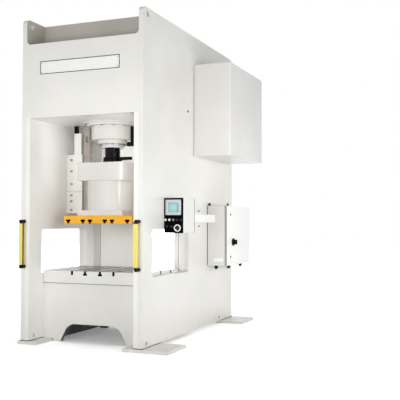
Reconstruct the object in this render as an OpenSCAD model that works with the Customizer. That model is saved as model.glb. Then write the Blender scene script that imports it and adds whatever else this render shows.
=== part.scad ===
// Servo press: a straight-sided welded frame with a servo-driven screw in its crown.
// Millimetres, +Z up, +X to the right of someone facing the press, +Y to its back.
// The origin lies on the floor, at the centre of the four anchor holes.

/* [Frame] */
// Clear width between the inner plates
die_w = 1426; // [1300:2:1600]
// Thickness of each inner plate
liner_t = 57; // [45:1:70]
// Thickness of each outer side plate
side_t = 60; // [45:1:80]
// Depth of the side plates, front to back
frame_d = 3090; // [3000:5:3300]
// Height of the crown's front plate
crown_h = 915; // [880:5:1000]
// Rise of the side plates above the crown's front plate
crown_rise = 320; // [250:5:400]
// Thickness of the crown's front and rear plates
crown_plate_t = 60; // [45:1:70]
// Radius of the side plates' upper corners
corner_r = 60; // [40:1:80]
// Radius of the lifting holes
lift_r = 35; // [25:1:45]
// Thickness of the foot pads
pad_t = 40; // [30:1:55]
// Reach of the right foot pads outside the frame
right_pad_reach = 335; // [250:5:400]
// Reach of the left foot pads outside the frame
left_pad_reach = 25; // [10:1:60]

/* [Side windows] */
// Length of each window, front to back
window_l = 1108; // [1000:2:1150]
// Height of each window
window_h = 565; // [500:1:600]
// Distance from the front face to the window
window_setback = 255; // [220:1:290]
// Height of the window sill above the bed
window_sill = 114; // [90:1:140]
// Radius of the window corners
window_r = 45; // [30:1:60]

/* [Bed and bolster] */
// Height of the bed above the pads
bed_h = 686; // [640:2:760]
// Distance from the front face to the bed's front plate
bed_setback = 320; // [290:1:360]
// Width of the arch under the bed at the floor
arch_foot_w = 936; // [880:2:1000]
// Width of the arch across its round shoulders
arch_top_w = 830; // [760:2:860]
// Height of the arch above the floor
arch_h = 228; // [200:1:260]
// Thickness of the bolster
bolster_t = 158; // [130:1:190]
// Depth of the bolster, front to back
bolster_d = 990; // [900:2:1040]

/* [Slide] */
// Height between the bolster and the raised slide
daylight = 589; // [500:1:650]
// Downward stroke of the slide
stroke = 220; // [150:1:260]
// Width of the slide plate
slide_plate_w = 962; // [920:2:1000]
// Depth of the slide plate, front to back
slide_plate_d = 770; // [720:2:820]
// Thickness of the slide plate
slide_plate_t = 97; // [85:1:115]
// Height of the slide's lower flange
slide_flange_h = 68; // [55:1:80]
// Height of the slide's drum between its flange and its upper block
drum_h = 374; // [340:2:420]
// Radius of the slide's drum
drum_r = 318; // [300:1:320]
// Height of the slide's upper block
slide_block_h = 228; // [200:2:260]
// Width of the slide's flange and upper block
slide_block_w = 644; // [640:2:700]
// Depth of the slide's flange and upper block, front to back
slide_block_d = 690; // [650:2:740]

/* [Drive] */
// Distance from the front face to the ram's axis
ram_setback = 795; // [780:1:810]
// Radius of the ram screw
screw_r = 97.5; // [85:0.5:105]
// Bare screw between the slide and the gland ring
neck_h = 204; // [170:2:240]
// Height of the gland ring
gland_h = 96; // [80:1:110]
// Height of the drive housing below its flange
housing_h = 180; // [165:1:200]
// Radius of the drive housing
housing_r = 270; // [255:1:290]
// Height of the drive housing's flange
housing_flange_h = 45; // [35:1:55]
// Module of the drive gears
gear_module = 12; // [11:0.5:13]
// Teeth of the nut gear
gear_teeth = 54; // [50:1:56]
// Teeth of the motor pinion
pinion_teeth = 18; // [17:1:22]
// Face width of the nut gear
gear_face = 120; // [90:1:140]

/* [Guides] */
// Half the width across the guide bars
guide_half = 481; // [475:1:490]
// Width of each guide bar
bar_w = 91; // [80:1:100]
// Depth of each guide bar, front to back
bar_d = 110; // [90:1:125]
// Height of each gib
gib_h = 781; // [700:2:850]
// Depth of each gib, front to back
gib_d = 190; // [180:1:230]
// Running gap between sliding faces
guide_gap = 0.3; // [0.2:0.05:0.5]

/* [Rear guard] */
// Distance from the front face to the rear wall of the die space
wall_setback = 1557; // [1500:1:1600]
// Width of each rear post
post_w = 107; // [90:1:130]
// Thickness of the rear posts and of the guard door
post_t = 40; // [30:1:50]

/* [Control panel] */
// Width of the control panel box
panel_w = 250; // [240:1:280]
// Height of the control panel box
panel_h = 428; // [400:1:460]
// Depth of the control panel box
panel_d = 373; // [340:1:400]
// Distance from the front face to the control panel
panel_setback = 587; // [560:1:620]
// Radius of the push buttons
button_r = 11; // [9:0.5:13]
// Travel of the push buttons
button_travel = 4; // [2:0.5:5]

/* [Wall boxes] */
// Reach of the junction box from the side plate
junction_w = 297; // [270:1:330]
// Length of the junction box, front to back
junction_l = 1016; // [950:2:1016]
// Height of the junction box
junction_h = 836; // [780:2:880]
// Distance from the front face to the junction box
junction_setback = 2040; // [2000:1:2040]
// Reach of the drive cabinet from the side plate
cabinet_w = 531; // [480:1:580]
// Length of the drive cabinet, front to back
cabinet_l = 1440; // [1380:2:1440]
// Height of the drive cabinet
cabinet_h = 1236; // [1150:2:1300]
// Distance from the front face to the drive cabinet
cabinet_setback = 1525; // [1480:1:1540]
// Sheet thickness of the boxes
sheet_t = 4; // [2:0.5:6]

/* [Light curtains] */
// Length of each light curtain
curtain_h = 500; // [440:2:560]
// Width of each light curtain across the opening
curtain_w = 46; // [38:1:54]
// Depth of each light curtain
curtain_d = 42; // [34:1:48]

/* [Hidden] */
$fn = 64;

// Clearances and the overrun that cuts share
overrun = 5;
running = 0.05;
seat_gap = 0.2;

// Bolts
bolt_r = 10;
bolt_l = 30;
bolt_head_r = 17;
bolt_head_h = 13;

// Heights, from the floor up
frame_z = pad_t;
bed_z = frame_z + bed_h;
bolster_z = bed_z + bolster_t;
slide_z = bolster_z + daylight;
flange_z = slide_z + slide_plate_t;
block_z = flange_z + slide_flange_h + drum_h;
slide_top_z = block_z + slide_block_h;
gland_z = slide_top_z + neck_h;
housing_z = gland_z + gland_h;
housing_flange_z = housing_z + housing_h;
crown_z = housing_flange_z + housing_flange_h;
crown_top_z = crown_z + crown_h;
top_z = crown_top_z + crown_rise;

// Widths, from the middle out
inner_x = die_w / 2;
plate_x = inner_x + liner_t;
outer_x = plate_x + side_t;

// Depths, from the front back
front_y = -frame_d / 2;
rear_y = frame_d / 2;
ram_y = front_y + ram_setback;
bed_y = front_y + bed_setback;
wall_y = front_y + wall_setback;

// Side plate holes
lift_inset = 112;
lift_drop = 73;
foot_hole_r = 24;
foot_hole_rise = 51;
front_hole_inset = 113;
rear_hole_inset = 550;
window_z = bed_z + window_sill;

// Crown plates
crown_floor_t = 60;
crown_deck_t = 40;
deck_drop = 240;
deck_z = crown_top_z - deck_drop;
cross_setback = 388;
cross_t = 40;
gusset = 34;
crown_floor_z = crown_z + crown_floor_t;

// Bed plates
bed_plate_t = 60;
bed_top_t = 80;
arch_r = 160;
toe_clear = 5;
toe_gap = 8;
rib_t = 40;
rib_x = arch_foot_w / 2 + rib_t;

// Foot pads and their anchor holes
pad_front_reach = 30;
pad_l = 524;
pad_inner_reach = 130;
anchor_r = 24;
anchor_x = inner_x - pad_inner_reach / 2;
anchor_y = frame_d / 2 - front_hole_inset;

// Bolster slots and holes
bolster_gap = 7;
bolster_half_w = inner_x - bolster_gap;
tee_x = 105;
tee_stem_w = 30;
tee_stem_h = 30;
tee_head_w = 56;
tee_head_h = 24;
lifter_x = 290;
lifter_w = 30;
lifter_h = 48;
side_slot_shares = [-0.06, 0.556];
side_slot_l = 190;
pin_hole_r = 16;
pin_hole_h = 70;
pin_x_shares = [-0.637, -0.279, 0.279, 0.637];
pin_y_shares = [-0.667, -0.222, 0.222, 0.667];
bolster_bolt_inset = 55;
head_sink = 5;
sunk_head_z = bolster_z - bolt_head_h - head_sink;

// Nameplate, left bare
name_w = 1096;
name_h = 160;
name_t = 4;
name_rim = 9;
name_rim_t = 3;
name_x = -22;
name_rise = 530;

// Slide plate slots and slide casting
slide_tee_shares = [0.218, 0.43, 0.869];
slide_tee_stem_w = 32;
slide_tee_stem_h = 24;
slide_tee_head_w = 62;
slide_tee_head_h = 26;
flange_round = 22;
block_round = 40;
ear_margin = 20;

// Drive housing, gland ring and bearings
housing_flange_out = 60;
housing_flange_r = housing_r + housing_flange_out;
housing_step_h = 16;
housing_step_out = 25;
housing_step_r = housing_flange_r + housing_step_out;
housing_chamfer = 14;
housing_lip = 40;
nut_r = 165;
bearing_wall = 45;
bearing_r = nut_r + bearing_wall;
bearing_h = 110;
thrust_wall = 95;
thrust_r = nut_r + thrust_wall;
nut_flange_out = 65;
nut_flange_r = nut_r + nut_flange_out;
nut_flange_h = 40;
nut_flange_z = crown_floor_z + bearing_h;
nut_tail = 10;
nut_clear = 12;
gland_flange_r = 194;
gland_flange_h = 46;
gland_neck_r = 142;
gland_clear = 1;
gland_bolt_ring = 170;
gland_bolts_n = 12;
housing_bolts_n = 12;
housing_bolt_ring = housing_r + housing_flange_out / 2;

// Drive gears
pressure_angle = 20;
flank_steps = 4;
backlash = 0.8;
root_share = 1.25;
gear_z = nut_flange_z + nut_flange_h;
gear_hub_wall = 30;
gear_hub_r = nut_r + gear_hub_wall;
gear_rim = 34;
gear_web_cut = 30;
gear_hole_share = 0.7;
gear_holes_n = 8;
pinion_margin = 5;
centre_distance = gear_module * (gear_teeth + pinion_teeth) / 2;
motor_y = ram_y + centre_distance;
gear_root_r = gear_module * (gear_teeth / 2 - root_share);
nut_top_z = gear_z + gear_face + nut_tail;
screw_top_z = nut_top_z + stroke / 2;

// Servo motor
shaft_r = 40;
shaft_reach = 160;
pilot_r = 115;
flange_side = 300;
motor_flange_t = 30;
motor_r = 138;
fin_out = 162;
fin_t = 7;
fins_n = 28;
motor_body_h = 330;
motor_bell_h = 46;
bell_rise = motor_flange_t + motor_body_h;
encoder_r = 78;
encoder_h = 60;
terminal_w = 110;
terminal_h = 90;
terminal_reach = 205;

// Screw foot and sensor arm
foot_flange_r = 122;
foot_flange_h = 48;
arm_ring_r = 118;
arm_h = 36;
arm_reach = 285;
arm_root_w = 110;
arm_tip_w = 44;

// Guides
bar_setback = 75;
bar_y = ram_y + bar_setback;
bar_top_gap = 10;
tongue_w = 50;
tongue_h = 30;
tongue_y = bar_y + (bar_d - tongue_w) / 2;
gib_x = guide_half + guide_gap;
gib_front = 45;
gib_y = ram_y + gib_front;
gib_lift = 34;
gib_z = flange_z + gib_lift;
gib_top_z = gib_z + gib_h;
gib_split = 3;
gib_split_share = 0.37;
gib_bolt_inset = 72;
gib_bolt_shares = [0.06, 0.21, 0.31, 0.5, 0.72, 0.91];
column_gap = 15;
column_x = gib_x + column_gap;
column_w = 107;
column_d = 120;
stop_h = 100;
stop_w = 36;
column_top_z = crown_z - stop_h;

// Rear guard door, its hinge and handle
door_gap = 6;
door_x = inner_x - post_w - door_gap;
door_z = bed_z + door_gap;
door_top_z = crown_z - door_gap;
door_rib_w = 60;
door_pocket_w = door_x - door_rib_w - door_rib_w / 2;
hinge_r = 14;
hinge_pin_r = 7;
hinge_l = 150;
hinge_leaf_w = 46;
hinge_leaf_t = 6;
hinge_shares = [0.12, 0.5, 0.88];
hinge_x = -door_x - door_gap / 2;
hinge_y = wall_y + post_t + hinge_r;
handle_rise = 420;
handle_z = bed_z + handle_rise;
handle_l = 200;
handle_r = 11;
handle_off = 55;

// Light curtains
curtain_out = 5;
curtain_x = plate_x + curtain_out;
curtain_reach = 70;
curtain_y = front_y - curtain_reach;
curtain_rise = 88;
curtain_z = bolster_z + curtain_rise;
lens_w = 30;
lens_in = 3;
boss_r = 21;
boss_off = 8;
boss_rise = 26;
tab_t = 12;
tab_d = 24;

// Control panel
panel_lap = 46;
panel_z = window_z + window_h - panel_lap;
panel_y = front_y + panel_setback;
panel_t = 14;
bezel_w = 206;
bezel_h = 186;
bezel_t = 8;
bezel_rim = 24;
bezel_drop = 22;
screen_t = 3;
button_rise = 161;
button_cap_out = 4;
button_cap_r = button_r + button_cap_out;
button_cap_h = 4;
button_spare = 1;
button_out = button_travel + button_spare + button_cap_h;
button_inset = 22;
buttons_n = 5;
button_pitch = (panel_w - 2 * button_inset) / (buttons_n - 1);
dial_rise = 62;
dial_inset = 70;
dial_r = 43;
dial_rim = 11;
dial_dish = 5;
dial_t = 12;
dial_stem_r = 9;
dial_knob_r = 7;
dial_knob_l = 22;
dial_knob_share = 0.66;
dial_knob_turn = 225;
panel_mid_x = outer_x + panel_w / 2;
bezel_z = panel_z + panel_h - bezel_drop - bezel_h;
dial_x = outer_x + panel_w - dial_inset;
dial_z = panel_z + dial_rise;

// Cable trunking
trunk_w = 115;
trunk_h = 108;
trunk_rise = 126;
trunk_flange = 40;

// Junction box
junction_rise = 156;
junction_z = bed_z + junction_rise;
junction_y = front_y + junction_setback;
junction_foot = 10;
junction_inset = 14;
junction_door_t = 26;
junction_seam = 7;
junction_gap = 0.5;
junction_hinge_r = 6;
gland_r = 28;
gland_len = 24;
gland_x_shares = [0.4, 0.77, 0.77];
gland_y_shares = [0.05, 0.25, 0.77];
switch_y_share = 0.253;
switch_z_share = 0.39;
switch_base = 104;
switch_base_t = 16;
switch_r = 33;
switch_knob_t = 26;
switch_bar_w = 18;
switch_bar_t = 20;
switch_stem_r = 8;
junction_x = outer_x + junction_w;
junction_face_x = junction_x - junction_door_t;
junction_rear_y = junction_y + junction_l;
junction_top_z = junction_z + junction_h;
switch_y = junction_y + switch_y_share * junction_l;
switch_z = junction_z + switch_z_share * junction_h;
junction_hinge_x = junction_face_x - junction_seam / 2;
junction_hinge_y = junction_rear_y + junction_hinge_r;
junction_hinge_l = 90;
junction_pin_r = 3.5;
junction_hinge_shares = [0.1, 0.8];

// Drive cabinet
cabinet_y = front_y + cabinet_setback;
cabinet_drop = 66;
cabinet_top_z = crown_top_z - cabinet_drop;
cabinet_z = cabinet_top_z - cabinet_h;
cabinet_r = 30;
cabinet_foot = 14;
cabinet_inset = 16;

// Paints and metals
paint = "#e9e8e3";
machined = "#77787a";
dark_steel = "#2c2c2e";
amber = "#f5b829";
lemon = "#f2d857";
black = "#1b1b1c";

// Shared shapes

// Box between two opposite corners
module block(low, high) translate(low) cube(high - low);

// Plate of thickness t from x, with its outline drawn in Y and Z
module yz_plate(x, t) translate([x, 0, 0]) rotate([90, 0, 90]) linear_extrude(t) children();

// Plate of thickness t from y, with its outline drawn in X and Z
module xz_plate(y, t) translate([0, y + t, 0]) rotate([90, 0, 0]) linear_extrude(t) children();

// Rectangle with round corners
module round_rect(low, size, r) {
    translate(low + [r, 0]) square(size - [2 * r, 0]);
    translate(low + [0, r]) square(size - [0, 2 * r]);
    for (x = [r, size.x - r], y = [r, size.y - r]) translate(low + [x, y]) circle(r);
}

// Outline of a tee slot that opens downward at the origin
module tee(stem_w, stem_h, head_w, head_h) {
    translate([-stem_w / 2, -overrun]) square([stem_w, stem_h + 2 * overrun]);
    translate([-head_w / 2, stem_h]) square([head_w, head_h]);
}

// Hexagon-headed bolt that points down, with its head above the origin
module bolt(head_r, head_h, shank_r, shank_l) {
    cylinder(r = head_r, h = head_h, $fn = 6);
    translate([0, 0, -shank_l]) cylinder(r = shank_r, h = shank_l);
}

// Hole for the shank of a bolt, along +Z
module bolt_hole(l) cylinder(r = bolt_r + seat_gap, h = l);

// Frame

module window_outline() {
    round_rect([front_y + window_setback, window_z], [window_l, window_h], window_r);
}

module side_outline() {
    top = top_z - frame_z;
    translate([front_y, frame_z]) square([frame_d, top - corner_r]);
    translate([front_y + corner_r, frame_z]) square([frame_d - 2 * corner_r, top]);
    for (y = [front_y + corner_r, rear_y - corner_r]) translate([y, top_z - corner_r]) circle(corner_r);
}

module side_plate(x) {
    yz_plate(x, side_t) difference() {
        side_outline();
        window_outline();
        for (y = [front_y + lift_inset, rear_y - lift_inset])
            translate([y, top_z - lift_drop]) circle(lift_r);
        for (y = [front_y + front_hole_inset, rear_y - rear_hole_inset])
            translate([y, frame_z + foot_hole_rise]) circle(foot_hole_r);
    }
}

module left_side_plate() color(paint) side_plate(-outer_x);

module right_side_plate() color(paint) side_plate(plate_x);

module inner_plates() color(paint) for (x = [-plate_x, inner_x]) yz_plate(x, liner_t) difference() {
    translate([front_y, frame_z]) square([wall_y + post_t - front_y, crown_z - frame_z]);
    window_outline();
    translate([front_y + front_hole_inset, frame_z + foot_hole_rise]) circle(foot_hole_r);
}

// Crown face with a small weld gusset at each upper corner
module crown_face() {
    polygon([
        [-plate_x, crown_z],
        [plate_x, crown_z],
        [plate_x, crown_top_z + gusset],
        [plate_x - gusset, crown_top_z],
        [gusset - plate_x, crown_top_z],
        [-plate_x, crown_top_z + gusset]
    ]);
}

module crown_front_plate() color(paint) xz_plate(front_y, crown_plate_t) crown_face();

module crown_rear_plate() color(paint) xz_plate(rear_y - crown_plate_t, crown_plate_t) crown_face();

module crown_cross_plates() color(paint)
    for (y = [front_y + cross_setback, rear_y - cross_setback - cross_t])
        block([-plate_x, y, deck_z], [plate_x, y + cross_t, top_z]);

// Full plate between the crown's front and rear plates
module crown_level(z, t) {
    block([-plate_x, front_y + crown_plate_t, z], [plate_x, rear_y - crown_plate_t, z + t]);
}

module crown_floor_plate() color(paint) difference() {
    crown_level(crown_z, crown_floor_t);
    translate([0, ram_y, crown_z - overrun]) cylinder(r = nut_r + nut_clear, h = crown_floor_t + 2 * overrun);
    translate([0, ram_y, crown_z - overrun]) housing_bolt_places() bolt_hole(bolt_l + overrun);
}

module crown_deck_plate() color(paint) difference() {
    crown_level(deck_z - crown_deck_t, crown_deck_t);
    translate([0, motor_y, deck_z - crown_deck_t - overrun])
        cylinder(r = pilot_r + seat_gap, h = crown_deck_t + 2 * overrun);
}

// Arch under the bed, with slanted sides and round shoulders
module arch_outline() {
    hull() {
        for (x = [arch_r - arch_top_w / 2, arch_top_w / 2 - arch_r])
            translate([x, arch_h - arch_r]) circle(arch_r, $fn = 48);
        translate([-arch_foot_w / 2, -overrun]) square([arch_foot_w, overrun]);
    }
}

// Cross plate of the bed, with toes between the foot pads that end just above the floor
module bed_cross_plate(y) {
    toe_x = inner_x - pad_inner_reach - toe_gap;
    xz_plate(y, bed_plate_t) difference() {
        union() {
            translate([-inner_x, frame_z]) square([die_w, bed_h - bed_top_t]);
            translate([-toe_x, toe_clear]) square([2 * toe_x, frame_z]);
        }
        arch_outline();
    }
}

module bed_front_plate() color(paint) bed_cross_plate(bed_y);

module bed_rear_plate() color(paint) bed_cross_plate(wall_y - bed_plate_t);

module bed_top_plate() color(paint) difference() {
    block([-inner_x, bed_y, bed_z - bed_top_t], [inner_x, wall_y, bed_z]);
    bolster_bolt_places() translate([0, 0, bed_z - bolt_l]) bolt_hole(bolt_l + overrun);
}

module bed_ribs() color(paint) for (side = [-1, 1]) {
    x = side > 0 ? rib_x : -rib_x - rib_t;
    block([x, bed_y + bed_plate_t, frame_z], [x + rib_t, wall_y - bed_plate_t, bed_z - bed_top_t]);
}

module rear_posts() color(paint) for (x = [-inner_x, inner_x - post_w])
    block([x, wall_y, frame_z], [x + post_w, wall_y + post_t, crown_z]);

module foot_pads() color(paint) difference() {
    for (y = [front_y - pad_front_reach, rear_y + pad_front_reach - pad_l]) {
        block([inner_x - pad_inner_reach, y, 0], [outer_x + right_pad_reach, y + pad_l, pad_t]);
        block([-outer_x - left_pad_reach, y, 0], [-inner_x + pad_inner_reach, y + pad_l, pad_t]);
    }
    for (x = [-anchor_x, anchor_x], y = [-anchor_y, anchor_y])
        translate([x, y, -overrun]) cylinder(r = anchor_r, h = pad_t + 2 * overrun);
}

module nameplate() color("white") difference() {
    translate([name_x, 0, 0]) xz_plate(front_y - name_t - name_rim_t, name_t + name_rim_t)
        translate([-name_w / 2, crown_z + name_rise]) square([name_w, name_h]);
    translate([name_x, 0, 0]) xz_plate(front_y - name_t - name_rim_t - overrun, name_rim_t + overrun)
        translate([-name_w / 2 + name_rim, crown_z + name_rise + name_rim])
            square([name_w - 2 * name_rim, name_h - 2 * name_rim]);
}

// Bolster

module bolster_bolt_places() {
    bolt_x = bolster_half_w - bolster_bolt_inset;
    bolt_y = bolster_d / 2 - bolster_bolt_inset;
    for (x = [-bolt_x, bolt_x], y = [ram_y - bolt_y, ram_y + bolt_y]) translate([x, y, 0]) children();
}

module bolster() color(machined) difference() {
    front = ram_y - bolster_d / 2;
    back = ram_y + bolster_d / 2;
    block([-bolster_half_w, front, bed_z], [bolster_half_w, back, bolster_z]);
    for (x = [-tee_x, tee_x]) translate([x, 0, bolster_z]) mirror([0, 0, 1])
        xz_plate(front - overrun, bolster_d + 2 * overrun)
            tee(tee_stem_w, tee_stem_h, tee_head_w, tee_head_h);
    for (x = [-lifter_x, lifter_x])
        block([x - lifter_w / 2, front - overrun, bolster_z - lifter_h],
            [x + lifter_w / 2, back + overrun, bolster_z + overrun]);
    for (side = [-1, 1], share = side_slot_shares)
        translate([side * bolster_half_w, ram_y + share * bolster_d / 2, bolster_z])
            cube([2 * side_slot_l, lifter_w, 2 * lifter_h], center = true);
    for (x = pin_x_shares * bolster_half_w, y = pin_y_shares * bolster_d / 2)
        translate([x, ram_y + y, bolster_z - pin_hole_h]) cylinder(r = pin_hole_r, h = pin_hole_h + overrun);
    bolster_bolt_places() {
        translate([0, 0, bed_z - overrun]) bolt_hole(bolster_t + 2 * overrun);
        translate([0, 0, sunk_head_z])
            cylinder(r = bolt_head_r + overrun, h = bolster_z + overrun - sunk_head_z);
    }
}

module bolster_bolts() color(dark_steel) bolster_bolt_places()
    translate([0, 0, sunk_head_z]) bolt(bolt_head_r, bolt_head_h, bolt_r, sunk_head_z - bed_z + bolt_l / 2);

// Drive

module ring_places(n, r) for (i = [0 : n - 1]) rotate(360 * i / n) translate([r, 0, 0]) children();

module housing_bolt_places() ring_places(housing_bolts_n, housing_bolt_ring) children();

module gland_bolt_places() ring_places(gland_bolts_n, gland_bolt_ring) children();

module drive_housing() color(paint) difference() {
    translate([0, ram_y, 0]) rotate_extrude() polygon([
        [screw_r + nut_clear, housing_z],
        [housing_r - housing_chamfer, housing_z],
        [housing_r, housing_z + housing_chamfer],
        [housing_r, housing_flange_z],
        [housing_flange_r, housing_flange_z],
        [housing_flange_r, crown_z - housing_step_h],
        [housing_step_r, crown_z - housing_step_h],
        [housing_step_r, crown_z],
        [bearing_r, crown_z],
        [bearing_r, housing_z + housing_lip],
        [screw_r + nut_clear, housing_z + housing_lip]
    ]);
    translate([0, ram_y, housing_flange_z - overrun]) housing_bolt_places()
        bolt_hole(housing_flange_h + 2 * overrun);
    translate([0, ram_y, housing_z - overrun]) gland_bolt_places() bolt_hole(overrun + housing_lip / 2);
}

module housing_bolts() color(machined) translate([0, ram_y, housing_flange_z]) housing_bolt_places()
    mirror([0, 0, 1]) bolt(bolt_head_r, bolt_head_h, bolt_r, housing_flange_h + bolt_l - overrun);

module gland_ring() color(paint) difference() {
    translate([0, ram_y, 0]) rotate_extrude() polygon([
        [screw_r + gland_clear, gland_z],
        [gland_neck_r, gland_z],
        [gland_neck_r, housing_z - gland_flange_h],
        [gland_flange_r, housing_z - gland_flange_h],
        [gland_flange_r, housing_z],
        [screw_r + gland_clear, housing_z]
    ]);
    translate([0, ram_y, housing_z - gland_flange_h - overrun]) gland_bolt_places()
        bolt_hole(gland_flange_h + 2 * overrun);
}

module gland_bolts() color(machined) translate([0, ram_y, housing_z - gland_flange_h]) gland_bolt_places()
    mirror([0, 0, 1]) bolt(bolt_head_r, bolt_head_h, bolt_r, gland_flange_h + housing_lip / 4);

// Bearing ring around the nut
module bearing(z, r, h) translate([0, ram_y, z]) rotate_extrude()
    translate([nut_r + running, 0]) square([r - nut_r - running, h]);

module nut_bearings() color(machined) {
    bearing(housing_z + housing_lip, bearing_r - running, bearing_h);
    bearing(crown_floor_z, thrust_r, bearing_h - guide_gap);
}

module drive_nut() color(machined) translate([0, ram_y, 0]) rotate_extrude() polygon([
    [screw_r + running, housing_z + housing_lip + nut_tail],
    [nut_r, housing_z + housing_lip + nut_tail],
    [nut_r, nut_flange_z],
    [nut_flange_r, nut_flange_z],
    [nut_flange_r, gear_z],
    [nut_r, gear_z],
    [nut_r, nut_top_z],
    [screw_r + running, nut_top_z]
]);

function involute_angle(a) = tan(a) * 180 / PI - a;

// Half angle of a tooth at radius r on a gear of n teeth
function tooth_half_angle(n, r) =
    let (
        pitch_r = gear_module * n / 2,
        base_r = pitch_r * cos(pressure_angle),
        slack = backlash / 4 / pitch_r * 180 / PI
    )
    90 / n - slack + involute_angle(pressure_angle) - involute_angle(acos(min(1, base_r / r)));

// Outline of an involute gear with a tooth on the X axis
function gear_points(n) =
    let (
        pitch_r = gear_module * n / 2,
        root_r = pitch_r - root_share * gear_module,
        start_r = max(root_r, pitch_r * cos(pressure_angle)),
        tip_r = pitch_r + gear_module,
        radii = concat([root_r], [for (k = [0 : flank_steps]) start_r + (tip_r - start_r) * k / flank_steps]),
        last = len(radii) - 1
    )
    [for (i = [0 : n - 1], side = [-1, 1], k = [0 : last])
        let (
            r = radii[side < 0 ? k : last - k],
            a = 360 * i / n + side * tooth_half_angle(n, max(r, start_r))
        )
        r * [cos(a), sin(a)]];

// Recess turned into one side of the gear between its hub and its rim
module gear_recess(z) translate([0, 0, z]) rotate_extrude()
    translate([gear_hub_r, 0]) square([gear_root_r - gear_rim - gear_hub_r, gear_web_cut + overrun]);

module nut_gear() color(machined) translate([0, ram_y, gear_z]) difference() {
    rotate(90) linear_extrude(gear_face) polygon(gear_points(gear_teeth));
    translate([0, 0, -overrun]) cylinder(r = nut_r + running, h = gear_face + 2 * overrun);
    gear_recess(-overrun);
    gear_recess(gear_face - gear_web_cut);
    ring_places(gear_holes_n, (gear_hub_r + gear_root_r - gear_rim) / 2)
        cylinder(r = gear_hole_share * (gear_root_r - gear_rim - gear_hub_r) / 2, h = gear_face);
}

module motor_pinion() color(machined) translate([0, motor_y, 0]) {
    translate([0, 0, gear_z - pinion_margin]) rotate(180 / pinion_teeth - 90)
        linear_extrude(gear_face + 2 * pinion_margin) polygon(gear_points(pinion_teeth));
    translate([0, 0, gear_z]) cylinder(r = shaft_r, h = deck_z + shaft_reach - gear_z);
}

// Ribbed motor barrel
module motor_section() {
    circle(motor_r);
    for (i = [0 : fins_n - 1]) rotate(360 * i / fins_n) translate([0, -fin_t / 2]) square([fin_out, fin_t]);
}

module servo_motor() color("#3a3d42") translate([0, motor_y, deck_z]) difference() {
    union() {
        translate([0, 0, -crown_deck_t]) cylinder(r = pilot_r, h = crown_deck_t + overrun);
        translate([-flange_side / 2, -flange_side / 2, 0]) cube([flange_side, flange_side, motor_flange_t]);
        translate([0, 0, motor_flange_t]) linear_extrude(motor_body_h) motor_section();
        translate([0, 0, bell_rise]) cylinder(r = motor_r, h = motor_bell_h);
        translate([0, 0, bell_rise + motor_bell_h]) cylinder(r = encoder_r, h = encoder_h);
        translate([0, -terminal_w / 2, bell_rise - terminal_h])
            cube([terminal_reach, terminal_w, terminal_h]);
    }
    translate([0, 0, -crown_deck_t - overrun])
        cylinder(r = shaft_r + running, h = crown_deck_t + shaft_reach + 2 * overrun);
}

// Ram

module ram_screw() color(dark_steel) translate([0, ram_y, slide_top_z])
    cylinder(r = screw_r, h = screw_top_z - slide_top_z);

module screw_foot() color(dark_steel) translate([0, ram_y, slide_top_z]) difference() {
    cylinder(r = foot_flange_r, h = foot_flange_h);
    translate([0, 0, -overrun]) cylinder(r = screw_r + running, h = foot_flange_h + 2 * overrun);
}

module sensor_arm() color(black) translate([0, ram_y, slide_top_z + foot_flange_h]) difference() {
    union() {
        cylinder(r = arm_ring_r, h = arm_h);
        linear_extrude(arm_h) polygon([
            [0, -arm_root_w / 2],
            [arm_reach, -arm_tip_w],
            [arm_reach, 0],
            [0, arm_root_w / 2]
        ]);
    }
    translate([0, 0, -overrun]) cylinder(r = screw_r + running, h = arm_h + 2 * overrun);
}

// Block of the slide casting with round vertical edges, centred on the ram's axis
module slide_block(z, h, r) translate([-slide_block_w / 2, ram_y - slide_block_d / 2, z]) linear_extrude(h)
    round_rect([0, 0], [slide_block_w, slide_block_d], r);

// Flange, drum and upper block, whose ears carry the guide bars
module slide_body() color(paint) {
    ear_x = guide_half - bar_w;
    slide_block(flange_z, slide_flange_h, flange_round);
    translate([0, ram_y, flange_z]) cylinder(r = drum_r, h = slide_top_z - flange_z);
    slide_block(block_z, slide_block_h, block_round);
    block([-ear_x, bar_y - ear_margin, block_z], [ear_x, bar_y + bar_d + ear_margin, slide_top_z]);
}

module slide_plate() color(amber) difference() {
    half_w = slide_plate_w / 2;
    front = ram_y - slide_plate_d / 2;
    block([-half_w, front, slide_z], [half_w, front + slide_plate_d, flange_z]);
    for (side = [-1, 1], share = slide_tee_shares)
        translate([side * share * half_w, 0, slide_z]) xz_plate(front - overrun, slide_plate_d + 2 * overrun)
            tee(slide_tee_stem_w, slide_tee_stem_h, slide_tee_head_w, slide_tee_head_h);
}

// Guides

module guide_bars() color("#8a827b") for (side = [0, 1]) mirror([side, 0, 0]) {
    block([guide_half - bar_w, bar_y, flange_z], [guide_half, bar_y + bar_d, crown_z - bar_top_gap]);
    block([guide_half, tongue_y, flange_z],
        [guide_half + tongue_h, tongue_y + tongue_w, crown_z - bar_top_gap]);
}

module gib_bolt_places() for (share = gib_bolt_shares)
    translate([inner_x - gib_bolt_inset, gib_y, gib_z + share * gib_h]) children();

// Groove that the guide bar's tongue runs in
module tongue_groove() {
    block([gib_x - overrun, tongue_y - guide_gap, gib_z - overrun],
        [gib_x + tongue_h, tongue_y + tongue_w + guide_gap, crown_z]);
}

// Two-piece gib
module gib() {
    split_z = gib_z + gib_split_share * gib_h;
    difference() {
        block([gib_x, gib_y, gib_z], [inner_x, gib_y + gib_d, gib_top_z]);
        tongue_groove();
        block([gib_x - overrun, gib_y - overrun, split_z],
            [inner_x + overrun, gib_y + gib_d + overrun, split_z + gib_split]);
        gib_bolt_places() translate([0, -overrun, 0]) rotate([-90, 0, 0]) bolt_hole(bolt_l + 2 * overrun);
    }
}

module left_gib() color(paint) mirror([1, 0, 0]) gib();

module right_gib() color(paint) gib();

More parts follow.
